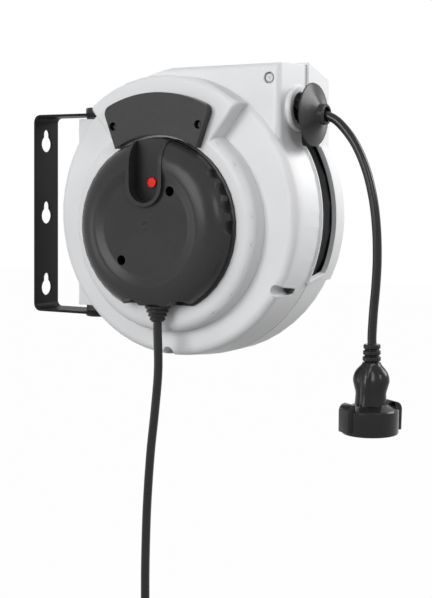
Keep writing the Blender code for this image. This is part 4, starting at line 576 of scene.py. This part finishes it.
# Where the cord falls away from the bell, and then hangs straight over the coupling
OUTLET_FALL = ((0.1600, 0.0875, 0.0218), (0.1765, 0.0680, 0.0212), (0.1880, 0.0429, 0.0205))
OUTLET_HANG = (
    (0.1948, 0.0156), (0.1980, -0.0116), (0.1986, -0.0388), (0.1972, -0.0630), (0.1950, -0.0853),
)

bell_low, bell_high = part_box("stop_bell")
bell_up = (bell_low.z + bell_high.z) / 2 - CASE_Z
bell_forward = -(bell_low.y + bell_high.y) / 2
bell_back = bell_low.x - AXIS_X
bell_end = bell_high.x - AXIS_X
coupling_low, coupling_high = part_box("socket_coupling")
coupling_out = (coupling_low.x + coupling_high.x) / 2 - AXIS_X
coupling_forward = -(coupling_low.y + coupling_high.y) / 2
coupling_top = coupling_high.z - CASE_Z

# The cord points straight off the winding, and starts where it is clear of it
mouth = Vector((MOUTH_INSIDE, bell_up + DRUM_DROP))
lift = atan2(mouth.y, mouth.x) + acos(WIND_RADIUS / mouth.length)
touch = WIND_RADIUS * Vector((cos(lift), sin(lift)))
along = (mouth - touch).normalized()
clear = WIND_RADIUS + CORD_DIAMETER + WIND_CLEARANCE
begin = touch + along * sqrt(clear**2 - WIND_RADIUS**2)
halfway = (begin + mouth) / 2

route = [(place.x, place.y - DRUM_DROP, bell_forward) for place in (begin, halfway)]
for out in (MOUTH_INSIDE, bell_back, bell_back + BELL_THROAT, bell_end - CORD_RADIUS):
    route.append((out, bell_up, bell_forward))
route += OUTLET_FALL
route += [(out, up, coupling_forward) for out, up in OUTLET_HANG]
for up in (coupling_top + CORD_DIAMETER + GAP, coupling_top + GAP):
    route.append((coupling_out, up, coupling_forward))
output = smooth_route([world(*station) for station in route], CORD_DIAMETER / 2)
outlet = flexible("outlet_cord", output, "housing", "output_cord")

# Rubber coupling: ringed neck, two-lobed grip with a fin on two sides, and a round head with a well
SIDES = 96
RING_RADII = (0.0078, 0.0081, 0.0084)
RING_STEP = 0.0055
RING_HEIGHT = 0.0042
RING_EDGE = 0.0007
RING_WAIST = 0.0066
GRIP_ROWS = 5
LAST_SHARE = 0.99999
FIN_ANGLE = 92
FIN_HALF_WIDTH = 0.0036
FIN_STEEPNESS = 4
LEAN = 0.024
HEAD_TOP = 0.0560
HEAD_RADIUS = 0.0258
HEAD_SLOPE = 0.0035
HEAD_EDGE = 0.0016
HEAD_FOOT = 0.081
WELL_RADIUS = 0.0200
WELL_DEPTH = 0.0175
WELL_DRAFT = 0.0005
EAR_INNER = 0.0212
EAR_OUTER = 0.0284
EAR_WIDTH = 0.0170
EAR_TOP = 0.0528
EAR_FOOT = 0.0785
EAR_EDGE = 0.0009
EAR_EDGE_STEPS = 2
EAR_ROUND = 0.0060
EAR_STEPS = 6
EAR_TURN = 123.8
CONTACT_SPREAD = 0.0095
CONTACT_RADIUS = 0.0026
CONTACT_DEPTH = 0.014
CONTACT_SIDES = 20
SLIVER = 0.000001

# Places down the grip, and its radii there over the lobes, the flats and the fins
GRIP_DOWN = (0.0165, 0.0185, 0.021, 0.024, 0.028, 0.033, 0.0385, 0.044, 0.049, 0.0545)
GRIP_LOBES = (0.0084, 0.0094, 0.0119, 0.0146, 0.0166, 0.0174, 0.0160, 0.0145, 0.0146, 0.0150)
GRIP_FLATS = (0.0082, 0.0086, 0.0092, 0.0098, 0.0104, 0.0110, 0.0112, 0.0112, 0.0116, 0.0124)
GRIP_FINS = (0.0088, 0.0097, 0.0109, 0.0121, 0.0135, 0.0146, 0.0151, 0.0154, 0.0159, 0.0166)

# Shares of the head's slope, down from its top and in from its side
HEAD_SHOULDER = ((0.4, 1), (0.6, 1 / 3), (1, 0))

# Shares of the head's edge, up from its foot and in from its side
HEAD_RIM = ((1, 0), (0.3, 0.3), (0, 1))


def between(values, share):
    """A smooth value between a list's neighbours, at a share of its whole run."""
    at = min(share, LAST_SHARE) * (len(values) - 1)
    i = int(at)
    near = (values[max(0, min(len(values) - 1, i + k))] for k in (-1, 0, 1, 2))
    return through(*near, at - i)


def round_row(down, radius):
    """A round row of the coupling's skin."""
    return [(radius, down)] * SIDES


def grip_row(share):
    """A row of the grip's skin, with a lobe on two sides and a fin on the other two."""
    down = between(GRIP_DOWN, share)
    lobe, flat, fin = (between(values, share) for values in (GRIP_LOBES, GRIP_FLATS, GRIP_FINS))
    row = []
    for i in range(SIDES):
        turn = radians(360 * i / SIDES - FIN_ANGLE)
        radius = flat + (lobe - flat) * sin(turn) ** 2
        across = radius * sin(turn)
        fin_share = exp(-(across / FIN_HALF_WIDTH) ** FIN_STEEPNESS)
        row.append((radius + (fin - flat) * fin_share, down))
    return row


rows = [round_row(0, 0.0)]
for i, radius in enumerate(RING_RADII):
    top = i * RING_STEP
    foot = top + RING_HEIGHT
    rows += [round_row(top, radius - RING_EDGE), round_row(top + RING_EDGE, radius)]
    rows += [round_row(foot - RING_EDGE, radius), round_row(foot, radius - RING_EDGE)]
    rows += [round_row(foot + RING_EDGE / 2, RING_WAIST)]
    rows += [round_row(top + RING_STEP - RING_EDGE / 2, RING_WAIST)]
grip_count = GRIP_ROWS * (len(GRIP_DOWN) - 1)
rows += [grip_row(i / grip_count) for i in range(grip_count + 1)]
for down, narrower in HEAD_SHOULDER:
    rows.append(round_row(HEAD_TOP + HEAD_SLOPE * down, HEAD_RADIUS - HEAD_SLOPE * narrower))
for up, narrower in HEAD_RIM:
    rows.append(round_row(HEAD_FOOT - HEAD_EDGE * up, HEAD_RADIUS - HEAD_EDGE * narrower))
well_floor = HEAD_FOOT - WELL_DEPTH
rows += [round_row(HEAD_FOOT, WELL_RADIUS)]
rows += [round_row(well_floor, WELL_RADIUS - WELL_DRAFT), round_row(well_floor, 0.0)]

middle = world(coupling_out, coupling_top, coupling_forward)
lean_way = Vector((-cos(CAMERA_TURN), -sin(CAMERA_TURN), 0)) * LEAN


def hung(radius, angle, drop):
    """A point of the coupling, which hangs a little out of plumb."""
    turn = polar(radius, angle)
    return middle + Vector((turn.x, -turn.y, -drop)) + lean_way * drop


def linked(name, form):
    """A new object from a mesh in the making."""
    mesh = bpy.data.meshes.new(name)
    bmesh.ops.recalc_face_normals(form, faces=form.faces)
    form.to_mesh(mesh)
    form.free()
    return placed(name, mesh)


def coupling_form():
    """The coupling's skin, from the top of its neck to the floor of its well."""
    form = bmesh.new()
    points = [form.verts.new(hung(radius, 360 * i / SIDES, drop))
              for row in rows for i, (radius, drop) in enumerate(row)]
    for r in range(len(rows) - 1):
        for i in range(SIDES):
            j = (i + 1) % SIDES
            ring = (r * SIDES + i, (r + 1) * SIDES + i, (r + 1) * SIDES + j, r * SIDES + j)
            form.faces.new([points[k] for k in ring])
    bmesh.ops.remove_doubles(form, verts=form.verts, dist=WELD)
    bmesh.ops.dissolve_degenerate(form, edges=form.edges, dist=SLIVER)
    return form


def ear_form(angle):
    """An ear on the side of the head, round at its top."""
    outline = [(EAR_INNER, EAR_FOOT), (EAR_OUTER, EAR_FOOT)]
    for i in range(EAR_STEPS + 1):
        bend = radians(90 * i / EAR_STEPS)
        outline.append((EAR_OUTER - EAR_ROUND * (1 - cos(bend)), EAR_TOP + EAR_ROUND * (1 - sin(bend))))
    outline.append((EAR_INNER, EAR_TOP))
    form = bmesh.new()
    ends = []
    for side in (-EAR_WIDTH / 2, EAR_WIDTH / 2):
        aside = polar(side, angle + 90)
        shift = Vector((aside.x, -aside.y, 0))
        ends.append([form.verts.new(hung(out, angle, drop) + shift) for out, drop in outline])
        form.faces.new(ends[-1])
    for i in range(len(outline)):
        j = (i + 1) % len(outline)
        form.faces.new((ends[0][i], ends[0][j], ends[1][j], ends[1][i]))
    bmesh.ops.bevel(form, geom=list(form.verts) + list(form.edges), offset=EAR_EDGE,
                    segments=EAR_EDGE_STEPS, profile=0.5, affect="EDGES", clamp_overlap=True)
    return form


def pit_form(angle):
    """The space of a contact hole in the floor of the well."""
    form = bmesh.new()
    bmesh.ops.create_cone(form, cap_ends=True, segments=CONTACT_SIDES, radius1=CONTACT_RADIUS,
                          radius2=CONTACT_RADIUS, depth=2 * CONTACT_DEPTH)
    bmesh.ops.translate(form, vec=hung(CONTACT_SPREAD, angle, well_floor), verts=form.verts)
    return form


coupling = linked("rubber_coupling", coupling_form())
tools = [(linked("ear", ear_form(EAR_TURN + turn)), "UNION") for turn in (0, 180)]
tools += [(linked("contact_pit", pit_form(turn)), "DIFFERENCE") for turn in (0, 180)]
for tool, operation in tools:
    step = coupling.modifiers.new(tool.name, "BOOLEAN")
    step.operation = operation
    step.solver = "EXACT"
    step.object = tool
bpy.context.view_layer.update()
bored = bpy.data.meshes.new_from_object(coupling.evaluated_get(bpy.context.evaluated_depsgraph_get()))
coupling.modifiers.clear()
coupling.data = bored
for tool, _ in tools:
    bpy.data.objects.remove(tool)
bored.materials.clear()
bored.materials.append(FINISHES["black_rubber"])
coupling.modifiers.new("weld_and_smooth", "NODES").node_group = smooth_group
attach(coupling, "housing")
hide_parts("socket_coupling")

# Floor, lights and background
FLOOR_SIZE = 12
FLOOR_DROP = 0.02
FLOOR_WHITE_SHARE = 0.985
FLOOR_ROUGHNESS = 0.9
FLOOR_TONE = (0.17, 0.17, 0.17)
FLOOR_SHADE = (0.19, 0.19, 0.19)
FLOOR_SCALE = 3
FLOOR_DETAIL = 3
WHITE = (1, 1, 1, 1)
SKY_STRENGTH = 0.36

# Each lamp's place from the casing's centre, its size and its power
LAMPS = {
    "key_light": ((-0.4, 0.55, 2.3), 1.1, 29),
    "side_light": ((1.5, 0.95, -1.2), 1.1, 38),
    "fill_light": ((1.8, 0.7, 1.2), 0.6, 9),
    "low_light": ((-1.6, -0.2, 1.4), 0.5, 3),
}


def seen_rays(tree):
    """1 for the rays that show the background: straight to the camera, mirrored or let through."""
    path = tree.nodes.new("ShaderNodeLightPath")
    total = path.outputs["Is Camera Ray"]
    for kind in ("Is Glossy Ray", "Is Transmission Ray"):
        add = tree.nodes.new("ShaderNodeMath")
        add.operation = "MAXIMUM"
        tree.links.new(total, add.inputs[0])
        tree.links.new(path.outputs[kind], add.inputs[1])
        total = add.outputs[0]
    return total


def floor_finish():
    """A pale floor that looks white and still shows the object's shadow."""
    made = Nodes("studio_floor")
    made.shader.inputs["Roughness"].default_value = FLOOR_ROUGHNESS
    tone = made.blend(made.noise(FLOOR_SCALE, FLOOR_DETAIL), FLOOR_TONE, FLOOR_SHADE)
    made.join(tone, made.shader.inputs["Base Color"])
    glow = made.add("ShaderNodeEmission")
    mixed = made.add("ShaderNodeMixShader")
    made.join(made.product(seen_rays(made.tree), FLOOR_WHITE_SHARE), mixed.inputs[0])
    made.join(made.shader.outputs[0], mixed.inputs[1])
    made.join(glow.outputs[0], mixed.inputs[2])
    made.join(mixed.outputs[0], made.tree.nodes["Material Output"].inputs["Surface"])
    return made.material


half = FLOOR_SIZE / 2
floor_z = cad_box[0].z - FLOOR_DROP
floor_corners = [(x * half, y * half, floor_z) for x, y in ((-1, -1), (1, -1), (1, 1), (-1, 1))]
floor_mesh = bpy.data.meshes.new("floor")
floor_mesh.from_pydata(floor_corners, [], [(0, 1, 2, 3)])
floor_mesh.materials.append(floor_finish())
floor = placed("floor", floor_mesh)

# Square soft lights that face the casing
for name, (place, size, power) in LAMPS.items():
    lamp = bpy.data.lights.new(name, "AREA")
    lamp.size = size
    lamp.energy = power
    light = placed(name, lamp)
    light.location = world(*place)
    aim = world(0, 0, 0) - light.location
    light.rotation_euler = aim.to_track_quat("-Z", "Y").to_euler()

sky = bpy.data.worlds.new("studio")
sky.use_nodes = True
bpy.context.scene.world = sky
sky_nodes = sky.node_tree.nodes
sky_links = sky.node_tree.links
soft_light = sky_nodes["Background"]
soft_light.inputs["Color"].default_value = WHITE
soft_light.inputs["Strength"].default_value = SKY_STRENGTH
white = sky_nodes.new("ShaderNodeBackground")
white.inputs["Color"].default_value = WHITE
white.inputs["Strength"].default_value = 1
seen = sky_nodes.new("ShaderNodeMixShader")
sky_links.new(seen_rays(sky.node_tree), seen.inputs[0])
sky_links.new(soft_light.outputs[0], seen.inputs[1])
sky_links.new(white.outputs[0], seen.inputs[2])
sky_links.new(seen.outputs[0], sky_nodes["World Output"].inputs["Surface"])

bpy.context.view_layer.update()
